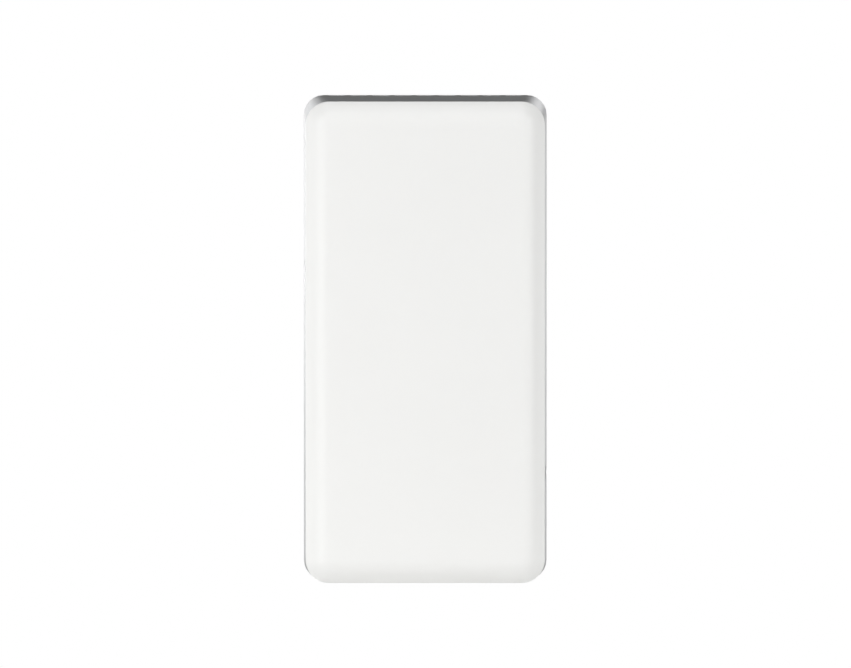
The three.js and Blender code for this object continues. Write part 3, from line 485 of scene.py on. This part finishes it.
def front_cover():
    """The pillowed shell, with its locating lip, stiffening ribs and clip studs inside."""
    half_width, half_height, face, lip = cover_size()
    rim = COVER_RIM
    outer = [(0.8, rim), (0.25, rim - 0.25), (0, rim - 0.8), (0, rim - 1.2), (0.3, rim - 1.7)]
    inner = cover_arc(COVER_SKIN)[::-1] + [(COVER_SKIN, rim - 0.6), (COVER_SKIN, rim)]
    shape = Shape()
    shape.skin(cover_rings(inner + outer + cover_arc(0)))
    shape.skin(cover_rings([(5.6, lip), (3.6, lip), (3.6, -176), (5.6, -176)]), closed=True)
    front, rear = face + COVER_SKIN - 0.5, face + COVER_SKIN + 7
    across, up = half_width - RIB_MARGIN, half_height - RIB_MARGIN
    for x in (-165, -82, 0, 82, 165):
        shape.box(x - 0.9, x + 0.9, front, rear, -up, up)
    for z in range(-405, 406, 90):
        shape.box(-across, across, front, rear, z - 0.9, z + 0.9)
    stud = [(0, 2), (9, 2), (9, 6), (4, 6.6), (4, 12), (4.3, 13), (4.3, 14), (3, 15.4), (0, 15.4)]
    for x, z in CLIPS:
        shape.lathe([(r, face + a) for r, a in stud], "y", (x, 0, z), 20)
    shape.piece("front_cover_shell", "cover", "cover_white", "front_cover", edge=0)


def cover_clips():
    """Sprung sockets on the lid that take the cover's studs."""
    shape = Shape()
    pan = place("service_lid")[2]
    ring = [(4.6, -7), (6.5, -7), (9, -5.5), (13, -1.8), (13, -0.2), (4.6, -0.2)]
    for x, z in CLIPS:
        shape.lathe([(r, pan + a) for r, a in ring], "y", (x, 0, z), 28, closed=True)
        for side in (-1, 1):
            shape.box(x + side * 10 - 3, x + side * 10 + 3, pan - 3.4, pan - 0.2, z - 4, z + 4)
    shape.piece("cover_clips", "lid", "black_moulding", edge=0.2)


def lid_screw_places():
    half_width, half_height, _, _ = cover_size()
    across, up = half_width - SCREW_INSET, half_height - SCREW_INSET
    places = [(side * across, z) for side in (-1, 1) for z in (-420, -252, -84, 84, 252, 420)]
    return places + [(x, side * up) for side in (-1, 1) for x in (-150, 0, 150)]


def lid_fixings():
    """Screws round the lid, and the tabs with brass inserts that they go into."""
    screws, tabs, inserts = Shape(), Shape(), Shape()
    half_width = cover_size()[0]
    rear, front = LID_FACE + 0.05, LID_FACE - 0.6
    washer = [(2.4, rear), (4.7, rear), (4.7, front), (2.4, front)]
    for x, z in lid_screw_places():
        screws.screw("y", (x, LID_FACE, z), 4.2, 2.8)
        screws.lathe(washer, "y", (x, 0, z), 20, closed=True)
        at_side = abs(abs(x) - (half_width - SCREW_INSET)) < 1
        reach_x, reach_z = (7.5, 9) if at_side else (9, 7.5)
        tabs.box(x - reach_x, x + reach_x, -167.9, -165.2, z - reach_z, z + reach_z)
        insert = [(1.8, -169.2), (3.6, -169.2), (3.6, -168.4), (3.1, -168.4), (3.1, -160), (1.8, -160)]
        inserts.lathe(insert, "y", (x, 0, z), 20, closed=True)
    screws.piece("lid_screws", "lid", "zinc_steel", edge=0)
    tabs.piece("lid_screw_tabs", "unit", "housing_paint", edge=0.6)
    inserts.piece("lid_screw_inserts", "unit", "brass", edge=0)


# ---- Battery ----

CELLS = ["cell_%02d" % number for number in range(1, 17)]
POST_OFFSET = 58  # from a cell's middle to its terminal posts, up and down
ROWS = {"lower": CELLS[:8], "upper": CELLS[8:]}


def cell_tops():
    """Bare aluminium posts and burst vents on the film-wrapped cans."""
    metal = Shape()
    for name in CELLS:
        x, _, z = middle(name)
        front = place(name)[2]
        for end in (-POST_OFFSET, POST_OFFSET):
            metal.box(x - 11.2, x + 11.2, front - 0.15, front + 2.8, z + end - 11.2, z + end + 11.2)
        metal.prism([(x + a, z + b) for a, b in rounded(8.4, 14.4, 8, 6)], "y", front + 1.9, front + 3)
    metal.piece("cell_posts", "unit", "bare_aluminium", edge=0.5)


def link(low, high, front):
    """The outline (along, y) of a bar from post to post, with a step over the carrier between them."""
    rear, hump, thick = front - 0.2, front - 3.6, 2.2
    return [
        (low - 7.5, rear), (low + 7.6, rear), (low + 7.6, hump), (high - 7.6, hump),
        (high - 7.6, rear), (high + 7.5, rear), (high + 7.5, rear - thick),
        (high - 5.4, rear - thick), (high - 5.4, hump - thick), (low + 5.4, hump - thick),
        (low + 5.4, rear - thick), (low - 7.5, rear - thick),
    ]


def battery_outputs(shape, front):
    """From the end of the upper row to the fuse, and from the end of the lower row to the shunt."""
    x = middle(CELLS[7])[0]
    level = -73  # the height of the bars between the upper row and the boards
    foot, over = front - 1.3, front - 5.2
    plus = middle(CELLS[8])[2] - POST_OFFSET
    minus = middle(CELLS[0])[2] + POST_OFFSET
    fuse_x, fuse_y = 183, place("main_fuse")[2] + 16
    rail = x + 16
    shape.run([(x, foot, plus), (x + 7.4, foot, plus), (x + 7.4, over, plus), (rail, over, plus)], 10, 2)
    shape.run([(rail, over, plus), (rail, over, level), (fuse_x, over, level),
               (fuse_x, fuse_y, level), (fuse_x, fuse_y, -58)], 10, 2)
    rail = x + 30.7
    shape.run([(x, foot, minus), (x + 7.4, foot, minus), (x + 7.4, over, minus), (rail, over, minus),
               (rail, over, level), (rail, -58, level), (30, -58, level), (30, -58, -2),
               (20, -58, -2)], 8, 2)


def busbars():
    """Seven links in each row, the link between the rows and the two bars to the switchgear."""
    copper, nuts = Shape(), Shape()
    front = place(CELLS[0])[2]
    for row, names in ROWS.items():
        places = [middle(name) for name in names]
        for i, ((left, _, z), (right, _, _)) in enumerate(zip(places, places[1:])):
            above = i % 2 if row == "lower" else 1 - i % 2
            z += POST_OFFSET if above else -POST_OFFSET
            copper.prism(link(left, right, front), "z", z - 8, z + 8)
        for x, _, z in places:
            for end in (-POST_OFFSET, POST_OFFSET):
                nuts.nut("y", (x, front - 2.4, z + end), 5, 3.4, 3)
    x, _, low = middle(CELLS[0])
    outline = link(low + POST_OFFSET, middle(CELLS[8])[2] - POST_OFFSET, front)
    copper.prism([(y, along) for along, y in outline], "x", x - 7, x + 7)
    battery_outputs(copper, front)
    copper.piece("busbars", "unit", "copper_bar", edge=0.4)
    nuts.piece("terminal_nuts", "unit", "zinc_steel", edge=0)


def sense_strips():
    """A flexible circuit along each row with a tab to every link, and its plug at the end."""
    strip, plugs = Shape(), Shape()
    for row, names in ROWS.items():
        x0, x1, front, _, _, _ = place("busbar_carrier_" + row)
        z = middle(names[0])[2]
        for side in (-1, 1):
            low, high = sorted((z + side * 33, z + side * 43))
            strip.box(x0 + 14, x1 - 14, front - 0.6, front - 0.2, low, high)
            for name in names:
                x = middle(name)[0] + 20
                tab = sorted((z + side * 43, z + side * 51))
                strip.box(x - 3, x + 3, front - 0.6, front - 0.2, *tab)
            plugs.box(x0 + 12, x0 + 34, front - 5, front - 0.6, low + 0.5, high - 0.5)
        strip.box(x0 + 3, x0 + 13, front - 0.6, front - 0.2, z - 43, z + 43)
    strip.piece("sense_strips", "unit", "circuit_board", edge=0)
    plugs.piece("sense_plugs", "unit", "grey_moulding", edge=0.3)


# ---- Electronics ----

CAPACITORS = (20, 72, 124)  # the x of each can
CAN_RADIUS = 17.5
BOARD_THICKNESS = 2
POST_END = -40.4  # the y where a board's posts end, just inside the housing's web


def toroid(side):
    """A wound choke: single-layer copper winding on a coated ring core, on a moulded base."""
    name = "inductor_" + side
    x, _, z = middle(name)
    x0, x1, front, rear, _, _ = place(name)
    outer = (x1 - x0) / 2
    wire, turns, inner = 1.7, 34, 17
    coil, core = Shape(), Shape()
    middle_radius, middle_y = (outer + inner) / 2, (front + rear) / 2
    half_radial, half_along = (outer - inner) / 2 - wire, (rear - front) / 2 - wire
    section = rounded(half_radial, half_along, 5, 3)
    for turn in range(turns):
        angle = 2 * math.pi * (turn + 0.5) / (turns + 1.5)
        out = Vector((math.cos(angle), 0, math.sin(angle)))
        path = [Vector((x, middle_y + b, z)) + out * (middle_radius + a) for a, b in section]
        coil.loop(path, Vector((0, 1, 0)).cross(out), wire)
    ring = rounded(half_radial - wire, half_along - wire, 4, 4)
    core.lathe([(middle_radius + a, middle_y + b) for a, b in ring], "y", (x, 0, z), 40, closed=True)
    core.box(x - 12, x + 12, rear - 3, rear, z - 12, z + 12)
    coil.piece(name + "_winding", "unit", "copper", name, edge=0, angle=60)
    core.piece(name + "_core", "unit", "grey_moulding", edge=0, angle=40)


def capacitor_bank():
    """Three cans in black sleeves with scored aluminium tops, on a moulded tray."""
    x0, x1, front, rear, z0, z1 = place("capacitor_bank")
    sleeves, tops = Shape(), Shape()
    sleeves.box(x0, x1, rear - 3.7, rear, z0, z1)
    radius = CAN_RADIUS
    z = (z0 + z1) / 2 + 0.5
    sleeve = [
        (0, rear - 3), (radius, rear - 3), (radius, rear - 6), (radius - 1.2, rear - 7.2),
        (radius, rear - 8.4), (radius, front + 1.6), (radius - 0.5, front + 0.4), (radius - 1.6, front),
        (radius - 3, front + 0.3), (radius - 3.2, front + 1), (0, front + 1),
    ]
    top = [(0, front + 1.1), (14, front + 1.1), (14, front + 0.6), (0, front + 0.6)]
    for x in CAPACITORS:
        sleeves.lathe(sleeve, "y", (x, 0, z), 40)
        tops.lathe(top, "y", (x, 0, z), 32)
        for turn in (0, 60, 120):
            spoke = Matrix.Rotation(math.radians(turn), 2)
            corners = [spoke @ Vector((a, b)) for a, b in ((-9, -0.5), (9, -0.5), (9, 0.5), (-9, 0.5))]
            tops.prism([(x + a, z + b) for a, b in corners], "y", front + 0.7, front + 0.35)
    sleeves.piece("capacitor_sleeves", "unit", "black_moulding", "capacitor_bank", edge=0)
    tops.piece("capacitor_tops", "unit", "bare_aluminium", edge=0)


class Board:
    """A circuit board with its parts, placed by x and z and by height in front of its face."""

    def __init__(self, node, face):
        self.node, self.face = node, face
        self.shapes = {}

    def on(self, slot):
        return self.shapes.setdefault(slot, Shape())

    def block(self, slot, x, z, width, height, start, end):
        self.on(slot).box(x - width / 2, x + width / 2, self.face - end, self.face - start,
                          z - height / 2, z + height / 2)

    def turn(self, slot, profile, x, z, sides=24, closed=False):
        """Turns (radius, height above the board) points about an axis that stands on the board."""
        points = [(radius, self.face - height) for radius, height in profile]
        self.on(slot).lathe(points, "y", (x, 0, z), sides, closed)

    def sheet(self):
        """The board itself with screws at its corners and the posts that hold it off the web."""
        x0, x1, _, _, z0, z1 = place(self.node)
        cx, cz = (x0 + x1) / 2, (z0 + z1) / 2
        points = [(cx + a, cz + b) for a, b in rounded((x1 - x0) / 2, (z1 - z0) / 2, 4, 4)]
        self.on("circuit_board").prism(points, "y", self.face, self.face + BOARD_THICKNESS)
        top, foot = self.face + 1.5, POST_END
        for x in (x0 + 8, x1 - 8):
            for z in (z0 + 8, z1 - 8):
                self.on("zinc_steel").lathe([(0, top), (4, top), (4, foot), (0, foot)], "y", (x, 0, z), 6)
                self.on("zinc_steel").screw("y", (x, self.face, z), 3.6, 2.4)

    def chip(self, x, z, width, height, thick=2.6, pitch=2.5):
        """A moulded package with leads along its upper and lower edges."""
        self.block("black_moulding", x, z, width, height, 0.4, thick)
        for i in range(int(width / pitch)):
            at = x - width / 2 + pitch * (i + 0.5)
            for foot in (-1 - height / 2, 1 + height / 2):
                self.block("zinc_steel", at, z + foot, pitch * 0.4, 2.4, 0, thick * 0.5)

    def relay(self, x, z, width, height, thick, slot="black_moulding"):
        """A moulded case with a slightly smaller top and a pip in its corner."""
        self.block(slot, x, z, width, height, 0, thick - 1.5)
        self.block(slot, x, z, width - 1.6, height - 1.6, thick - 1.6, thick)
        self.block(slot, x + width / 2 - 4, z + height / 2 - 4, 2, 2, thick - 0.2, thick + 0.4)

    def connector(self, x, z, width, height, thick, pins):
        """An open box header with pins."""
        wall = 1.2
        for side in (-1, 1):
            self.block("grey_moulding", x + side * (width - wall) / 2, z, wall, height, 0, thick)
            self.block("grey_moulding", x, z + side * (height - wall) / 2, width, wall, 0, thick)
        self.block("grey_moulding", x, z, width, height, 0, 2)
        for i in range(pins):
            at = x - width / 2 + width * (i + 0.5) / pins
            for side in (-0.2, 0.2):
                self.block("brass", at, z + side * height, 0.8, 0.8, 1, thick - 2)

    def can(self, x, z, radius, tall):
        """An electrolytic capacitor with a bare metal top."""
        body = [(0, 0), (radius, 0), (radius, tall - 0.8), (radius - 0.8, tall), (0, tall)]
        self.turn("black_moulding", body, x, z)
        cap = [(0, tall - 0.1), (radius - 1, tall - 0.1), (radius - 1, tall + 0.15), (0, tall + 0.15)]
        self.turn("zinc_steel", cap, x, z)

    def choke(self, x, z, radius, tall):
        """A drum core with its winding."""
        waist = radius * 0.7
        drum = [(0, 0), (radius, 0), (radius, 2), (waist, 2.4), (waist, tall - 2.4), (radius, tall - 2),
                (radius, tall), (0, tall)]
        self.turn("black_moulding", drum, x, z)
        wire = [(waist, 2.2)]
        for i in range(int(tall - 4)):
            wire += [(radius * 0.92, 2.3 + i), (radius * 0.84, 2.8 + i)]
        wire += [(waist, tall - 2.2)]
        self.turn("copper", wire, x, z, closed=True)

    def transformer(self, x, z, width, height, thick):
        """Ferrite halves round a taped winding."""
        self.block("black_moulding", x, z, width, height * 0.42, 1, thick)
        self.block("copper", x, z, width * 0.72, height * 0.9, 3, thick - 3)
        self.block("grey_moulding", x, z, width * 0.9, height, 0, 3)
        self.block("grey_moulding", x, z, width * 0.78, height * 0.96, thick - 4, thick - 2.6)

    def litter(self, x0, x1, z0, z1, count):
        """Small resistors and capacitors on a grid, each turned one way or the other."""
        for _ in range(count):
            x = x0 + 3 * random.randrange(max(int((x1 - x0) / 3), 1))
            z = z0 + 3 * random.randrange(max(int((z1 - z0) / 3), 1))
            width, height = random.choice(((2.0, 1.2), (1.2, 2.0)))
            slot = random.choice(("black_moulding", "grey_moulding"))
            self.block(slot, x, z, width, height, 0.02, 0.7)
            for side in (-1.1, 1.1):
                if width > height:
                    self.block("zinc_steel", x + side, z, 0.5, 1.2, 0, 0.72)
                else:
                    self.block("zinc_steel", x, z + side, 1.2, 0.5, 0, 0.72)

    def finish(self):
        for slot, shape in self.shapes.items():
            node = self.node if slot == "circuit_board" else None
            edge = 0 if slot == "zinc_steel" else 0.15
            shape.piece(self.node + "_" + slot, "unit", slot, node, edge)


def power_board():
    """The inverter: switch modules, relays, gate drivers, transformers and film capacitors."""
    board = Board("power_board", -62)
    board.sheet()
    for x in (-95, -35, 35, 95):
        board.on("black_moulding").box(x - 20, x + 20, -61.8, -44, 120, 150)
        board.chip(x, 158, 16, 8)
    for x in (-170, -120):
        board.relay(x, 65, 40, 30, 22)
    board.relay(155, 77, 70, 44, 32)
    board.transformer(0, 85, 56, 50, 18)
    for x in (66, 80, 94):
        board.relay(x, 75, 11, 40, 14, "cell_wrap")
    for x in (-48, -24, 0, 24, 48):
        board.relay(x, 135, 20, 9, 10, "cell_wrap")
    board.connector(-185, 316, 30, 30, 15, 6)
    board.connector(175, 316, 48, 30, 15, 8)
    for x, z in ((-185, 110), (-185, 128), (165, 120), (185, 120), (175, 140)):
        board.can(x, z, 6.5, 18)
    for x, z in ((-180, 160), (-180, 190), (160, 175)):
        board.choke(x, z, 10, 14)
    board.chip(-24, 252, 26, 14)
    board.chip(60, 215, 20, 10)
    board.chip(120, 215, 20, 10)
    board.litter(-199, -182, 205, 290, 30)
    board.litter(-16, 180, 190, 235, 60)
    board.litter(-20, 110, 160, 186, 40)
    board.litter(-100, 100, 112, 118, 24)
    board.finish()


def control_board():
    board = Board("control_board", -52)
    board.sheet()
    board.chip(-35, 445, 44, 44, 3.2, 1.6)
    board.chip(25, 445, 24, 18, 2.6, 1.6)
    board.chip(-90, 470, 14, 9)
    board.chip(-90, 440, 14, 9)
    board.block("zinc_steel", 82, 472, 44, 36, 0, 6)
    board.connector(82, 393, 44, 14, 12, 10)
    board.connector(-85, 393, 48, 14, 10, 12)
    board.connector(-10, 392, 58, 13, 10, 14)
    for x, z in ((-105, 425), (-105, 410), (50, 425)):
        board.can(x, z, 4, 9)
    board.litter(-75, 50, 410, 418, 40)
    board.litter(-80, 50, 474, 492, 60)
    board.litter(40, 105, 412, 440, 40)
    board.finish()


def bms_board():
    board = Board("bms_board", -52)
    board.sheet()
    board.connector(-145, -57, 88, 9, 10, 20)
    board.connector(-30, -57, 98, 9, 10, 22)
    board.chip(-135, -5, 26, 24, 2.8, 1.4)
    board.chip(-75, -15, 24, 24, 2.8, 1.4)
    board.block("copper_bar", -5, -2, 70, 20, 0.5, 3)
    board.block("copper_bar", -32, -2, 14, 22, 2.8, 5)
    board.block("copper_bar", 22, -2, 14, 22, 2.8, 5)
    for x in (-180, -168):
        board.choke(x, 5, 5, 8)
    board.litter(-195, 30, -44, -34, 80)
    board.litter(-115, -95, -20, 15, 20)
    board.finish()


def switchgear():
    """Caps and blades of the fuse, nuts and coil terminals of the contactor, and their bars."""
    metal, bars, black = Shape(), Shape(), Shape()
    for low in (-52, -6):
        cap = [(0, low), (15.4, low), (16.8, low + 1), (16.8, low + 9.4), (15.9, low + 10), (0, low + 10)]
        metal.lathe(cap, "z", (183, -72, 0), 40)
    for low in (-66, 2):
        metal.box(175.5, 190.5, -74.4, -53, low, low + 14.5)
    for z in (-46, -6):
        metal.nut("y", (100, -104.5, z), 8, 5, 4.5)
        washer = [(6.4, -100.2), (11, -100.2), (11, -101.4), (6.4, -101.4)]
        bars.lathe(washer, "y", (100, 0, z), 28, closed=True)
    bars.run([(183, -75.6, 10), (183, -103, 10), (100, -103, 10), (100, -103, -6)], 13, 2)
    bars.run([(100, -103, -46), (50, -103, -46), (50, -103, 34), (50, -63.2, 34), (50, -63.2, 50)],
             10, 2)
    metal.screw("y", (50, -64.2, 48), 3.6, 2.4)
    for z in (-56, 6):
        black.box(70, 130, -100.8, -99.5, z - 3, z + 3)
    for x in (62, 138):
        for z in (-56, 4):
            metal.screw("y", (x - 0.5, -46, z), 3, 2)
    metal.piece("switchgear_terminals", "unit", "brass", edge=0.2)
    bars.piece("switchgear_bars", "unit", "copper_bar", edge=0.4)
    black.piece("contactor_ribs", "unit", "black_moulding", edge=0.3)


# ---- Wall side, underside and wiring bay ----

BLADES = 24
HEAT_SINK_GAPS = 23  # between the fins


def impeller(side):
    """A backward-curved impeller with a domed hub."""
    name = "impeller_" + side
    x, _, z = middle(name)
    _, _, front, rear, _, _ = place(name)
    shape = Shape()
    hub = [(5.4, front), (37, front), (37, front + 1.3), (17, front + 1.5), (15, front + 3),
           (15, rear - 3), (14, rear - 1.4), (12, rear - 0.8), (5.4, rear - 0.8)]
    shape.lathe(hub, "y", (x, 0, z), 48, closed=True)
    shroud = [(32, rear - 1.5), (37, rear - 1.5), (37, rear), (32, rear)]
    shape.lathe(shroud, "y", (x, 0, z), 48, closed=True)
    steps = 5
    for blade in range(BLADES):
        start = 2 * math.pi * blade / BLADES
        sides = []
        for offset in (-0.5, 0.5):
            line = []
            for i in range(steps + 1):
                radius = 24 + 12.5 * i / steps
                angle = start + 0.42 * (i / steps) ** 1.4 + offset / radius
                line.append((x + radius * math.cos(angle), z + radius * math.sin(angle)))
            sides.append(line)
        shape.prism(sides[0] + sides[1][::-1], "y", front + 1, rear - 0.8)
    shape.piece(name + "_wheel", name, "grey_moulding", name, edge=0)


def finger_guards():
    """Wire guards over the blowers' inlets and screws at their corners."""
    wire, screws = Shape(), Shape()
    forward = Vector((0, 1, 0))
    steps = 40
    angles = [2 * math.pi * i / steps for i in range(steps)]
    for side in ("left", "right"):
        x0, x1, _, rear, z0, z1 = place("blower_" + side)
        centre = Vector(((x0 + x1) / 2, rear + 1.4, (z0 + z1) / 2))
        for radius in (9, 16, 23, 30):
            path = [centre + radius * Vector((math.cos(a), 0, math.sin(a))) for a in angles]
            wire.loop(path, forward, 0.8)
        for quarter in range(4):
            angle = math.radians(45 + 90 * quarter)
            out = Vector((math.cos(angle), 0, math.sin(angle)))
            along = Vector((-math.sin(angle), 0, math.cos(angle)))
            rings = []
            for reach in (6, 38):
                end = centre + out * reach - 0.6 * forward
                rings.append([end + 0.8 * (a * along + b * forward)
                              for a, b in ((-1, -1), (1, -1), (1, 1), (-1, 1))])
            wire.skin(rings)
            screws.screw("y", tuple(centre + out * 56 - 1.4 * forward), 3.2, 2, facing=1)
    wire.piece("finger_guards", "unit", "zinc_steel", edge=0)
    screws.piece("blower_screws", "unit", "zinc_steel", edge=0)


def rear_fixings():
    """Bolts of the hooks and screws of the heat sink between its fins."""
    shape = Shape()
    for side in ("left", "right"):
        x0, x1, front, _, z0, z1 = place("hook_" + side)
        x = (x0 + x1) / 2
        for dx in (-18, 18):
            for z in (z0 + 15, z1 - 10):
                shape.nut("y", (x + dx, front + 4, z), 6.5, 4, 3, facing=1)
    x0, x1, _, _, z0, z1 = place("heat_sink")
    pitch = (x1 - x0 - 2) / HEAT_SINK_GAPS
    base = place("hook_left")[2] + 5
    for gap in (1, 8, 14, 21):
        for z in (z0 + 9, z1 - 9):
            shape.screw("y", (x0 + 1 + pitch * (gap + 0.5), base, z), 4, 3, facing=1)
    shape.piece("rear_fixings", "unit", "zinc_steel", edge=0)


def glands():
    """Fluted cable glands with rubber seals, and a vent cap beside them."""
    roof = place("gland_power")[5] - 10  # the recess's roof, which the glands pass through
    seals = Shape()
    for node, lobes in (("gland_power", 20), ("gland_comms", 16)):
        x, y, _ = middle(node)
        x0, x1, _, _, low, high = place(node)
        hexagon = (x1 - x0) / 2
        thread, bore = (16, 9) if node == "gland_power" else (10, 5.5)
        shape = Shape()
        outside = [(thread - 2, roof - 8), (hexagon - 0.8, roof - 8), (hexagon, roof - 7),
                   (hexagon, roof - 0.3), (thread - 2, roof - 0.3)]
        inside = [(thread - 2, roof + 3.3), (hexagon, roof + 3.3), (hexagon, roof + 7.4),
                  (hexagon - 0.8, roof + 8), (thread - 2, roof + 8)]
        for nut in (outside, inside):
            shape.lathe(nut, "z", (x, y, 0), 6, closed=True)
        stem = [(bore, roof - 8), (thread - 0.4, roof - 8)]
        for i in range(7):
            stem += [(thread - 0.9, roof + 3.2 + i), (thread, roof + 3.7 + i)]
        stem += [(thread - 0.6, high), (bore, high)]
        shape.lathe(stem, "z", (x, y, 0), 32, closed=True)
        dome = [(bore, low + 0.5), (thread * 0.72, low), (thread * 0.84, low + 2),
                (thread * 0.97, low + 9), (thread, low + 18.5), (thread, roof - 8), (bore, roof - 8)]
        shape.lathe(dome, "z", (x, y, 0), lobes * 6, closed=True,
                    flute=lambda angle, lobes=lobes: 1 - 0.035 * (0.5 + 0.5 * math.cos(lobes * angle)))
        shape.piece(node + "_body", "unit", "black_moulding", node, edge=0, angle=40)
        seal = [(bore - 1.2, low + 2), (bore + 0.8, low + 0.2), (bore + 0.8, low + 14),
                (bore - 1.2, low + 12)]
        seals.lathe(seal, "z", (x, y, 0), 32, closed=True)
    seals.piece("gland_seals", "unit", "rubber", edge=0)
    x, y, _ = middle("breather_valve")
    low, high = place("breather_valve")[4:]
    cap = [(0, low), (9.5, low), (11, low + 0.8), (12, low + 2.4), (12, roof - 0.3), (8, roof - 0.3),
           (8, high), (0, high)]
    valve = Shape().lathe(cap, "z", (x, y, 0), 96,
                          flute=lambda angle: 1 - 0.05 * max(math.cos(12 * angle), 0) ** 4)
    valve.piece("breather_cap", "unit", "black_moulding", "breather_valve", edge=0, angle=40)


def power_button():
    """A dished button in a turned bezel, with a light ring between them."""
    _, y, z = middle("power_button")

    def turned(node, body, slot, profile, closed):
        shape = Shape().lathe(profile, "x", (0, y, z), 72, closed)
        shape.piece(node + "_turned", body, slot, node, edge=0, angle=40)

    x0, x1 = place("power_button")[:2]
    turned("power_button", "power_button", "black_moulding",
           [(0, x0), (7.5, x0), (7.5, x1 - 0.9), (7.2, x1 - 0.3), (6.6, x1), (5.6, x1 - 0.15),
            (3, x1 - 0.6), (0, x1 - 0.7)], False)
    x0, x1 = place("button_light_ring")[:2]
    turned("button_light_ring", "unit", "light_guide",
           [(7.9, x0), (9.2, x0), (9.2, x1 - 0.3), (8.9, x1), (8.2, x1), (7.9, x1 - 0.3)], True)
    x0, x1 = place("button_bezel")[:2]
    turned("button_bezel", "unit", "bezel_metal",
           [(9.6, x0), (12, x0), (12, x1 - 1.5), (15, x1 - 1.5), (15, x1 - 0.7), (14.8, x1 - 0.2),
            (14.3, x1), (10.4, x1), (9.8, x1 - 0.2), (9.6, x1 - 0.7)], True)


def bay_screws():
    """Clamp screws of the terminals and the breaker, and the divider's and tray's fixings."""
    shape = Shape()
    x, _, z = middle("ac_terminal_block")
    for pole in range(5):
        shape.screw("y", (x + (pole - 2) * 22, -86.1, z + 8), 4.2, 2.6)
    x, _, z = middle("breaker_body")
    for dx in (-9, 9):
        for dz in (-31, 31):
            shape.screw("y", (x + dx, -88.1, z + dz), 3.5, 2.4)
    x0, x1, _, _, z0, z1 = place("din_rail")
    for x in (x0 + 12, 0, x1 - 12):
        shape.screw("y", (x, -41.5, (z0 + z1) / 2), 5, 3)
    shape.piece("bay_screws", "unit", "zinc_steel", edge=0)


front_cover()
cover_clips()
lid_fixings()
cell_tops()
busbars()
sense_strips()
for hand in ("left", "right"):
    toroid(hand)
    impeller(hand)
capacitor_bank()
power_board()
control_board()
bms_board()
switchgear()
finger_guards()
rear_fixings()
glands()
power_button()
bay_screws()


# ---- Floor, light and camera ----

TARGET = Vector((0, -0.1, BODY_Z))  # where the softboxes point
FLOOR_Z = -1.3
FLOOR_RADIUS = 1.6
SOFTBOX_DISTANCE = 3.2
SOFTBOX_SIDE = 1.4
SIDE_SOFTBOXES = (  # name, degrees to either side, degrees up, watts on the left and on the right
    ("key", 40, 0, 42, 38),
    ("key_high", 40, 25, 5, 8),
    ("wing", 70, 10, 20, 4),
    ("side", 100, 0, 10, 14),
    ("rim", 125, 0, 40, 35),
    ("rim_high", 125, 20, 6, 0),
    ("back", 150, 8, 6, 0),
    ("back_high", 150, 30, 10, 12),
)
AMBIENT = 0.01
ELEVATION = math.radians(3.9)
PARTING_LINE = -0.172  # the y of the plane that the photograph's scale is taken at
FRAME_WIDTH = 1.922  # metres across the picture in that plane
LENS = 1000  # millimetres: very long, because the photograph shows no perspective
SENSOR = 36


def stage_floor():
    bpy.ops.mesh.primitive_circle_add(vertices=96, radius=FLOOR_RADIUS, fill_type="NGON",
                                      location=(TARGET.x, TARGET.y, FLOOR_Z))
    floor = bpy.context.object
    floor.name = "floor"
    shade = Shade("floor_paint", (0.82, 0.82, 0.81), 0.7)
    shade.shade(shade.noise(3), 0.02).relief(shade.noise(60, 2), 0.0001)
    floor.data.materials.append(shade.material)


def softbox(name, azimuth, elevation, power):
    """A square softbox facing the unit's middle; azimuth 0 is straight in front, + to the right."""
    if not power:
        return
    across, up = math.radians(azimuth), math.radians(elevation)
    away = Vector((math.sin(across) * math.cos(up), -math.cos(across) * math.cos(up), math.sin(up)))
    data = bpy.data.lights.new(name, "AREA")
    data.shape, data.size, data.size_y = "RECTANGLE", SOFTBOX_SIDE, SOFTBOX_SIDE
    data.energy = power
    lamp = bpy.data.objects.new(name, data)
    lamp.location = TARGET + away * SOFTBOX_DISTANCE
    lamp.rotation_euler = (-away).to_track_quat("-Z", "Y").to_euler()
    lamp.visible_camera = False
    bpy.context.collection.objects.link(lamp)


def studio():
    """White to the camera and dim to everything else: the softboxes do the lighting."""
    world = bpy.data.worlds.new("studio")
    bpy.context.scene.world = world
    world.use_nodes = True
    tree = world.node_tree
    ambient = tree.nodes["Background"]
    ambient.inputs["Color"].default_value = (1, 1, 1, 1)
    ambient.inputs["Strength"].default_value = AMBIENT
    white = tree.nodes.new("ShaderNodeBackground")
    white.inputs["Color"].default_value = (1, 1, 1, 1)
    path = tree.nodes.new("ShaderNodeLightPath")
    mix = tree.nodes.new("ShaderNodeMixShader")
    tree.links.new(path.outputs["Is Camera Ray"], mix.inputs["Fac"])
    tree.links.new(ambient.outputs["Background"], mix.inputs[1])
    tree.links.new(white.outputs["Background"], mix.inputs[2])
    tree.links.new(mix.outputs["Shader"], tree.nodes["World Output"].inputs["Surface"])
    bpy.context.scene.view_settings.view_transform = "Standard"


def camera():
    """Straight ahead and a little above level, framed as the photograph is."""
    data = bpy.data.cameras.new("camera")
    data.sensor_width = SENSOR
    data.lens = LENS
    made = bpy.data.objects.new("camera", data)
    aim = Vector((0.0006, PARTING_LINE, BODY_Z + 0.0191))
    back = Vector((0, -math.cos(ELEVATION), math.sin(ELEVATION)))
    made.location = aim + back * FRAME_WIDTH * LENS / SENSOR
    made.rotation_euler = (-back).to_track_quat("-Z", "Y").to_euler()
    data.clip_end = 100
    bpy.context.collection.objects.link(made)
    bpy.context.scene.camera = made


stage_floor()
studio()
softbox("front", 0, 25, 3)
softbox("top", 0, 70, 34)
for name, azimuth, elevation, left, right in SIDE_SOFTBOXES:
    softbox(name + "_left", -azimuth, elevation, left)
    softbox(name + "_right", azimuth, elevation, right)
camera()
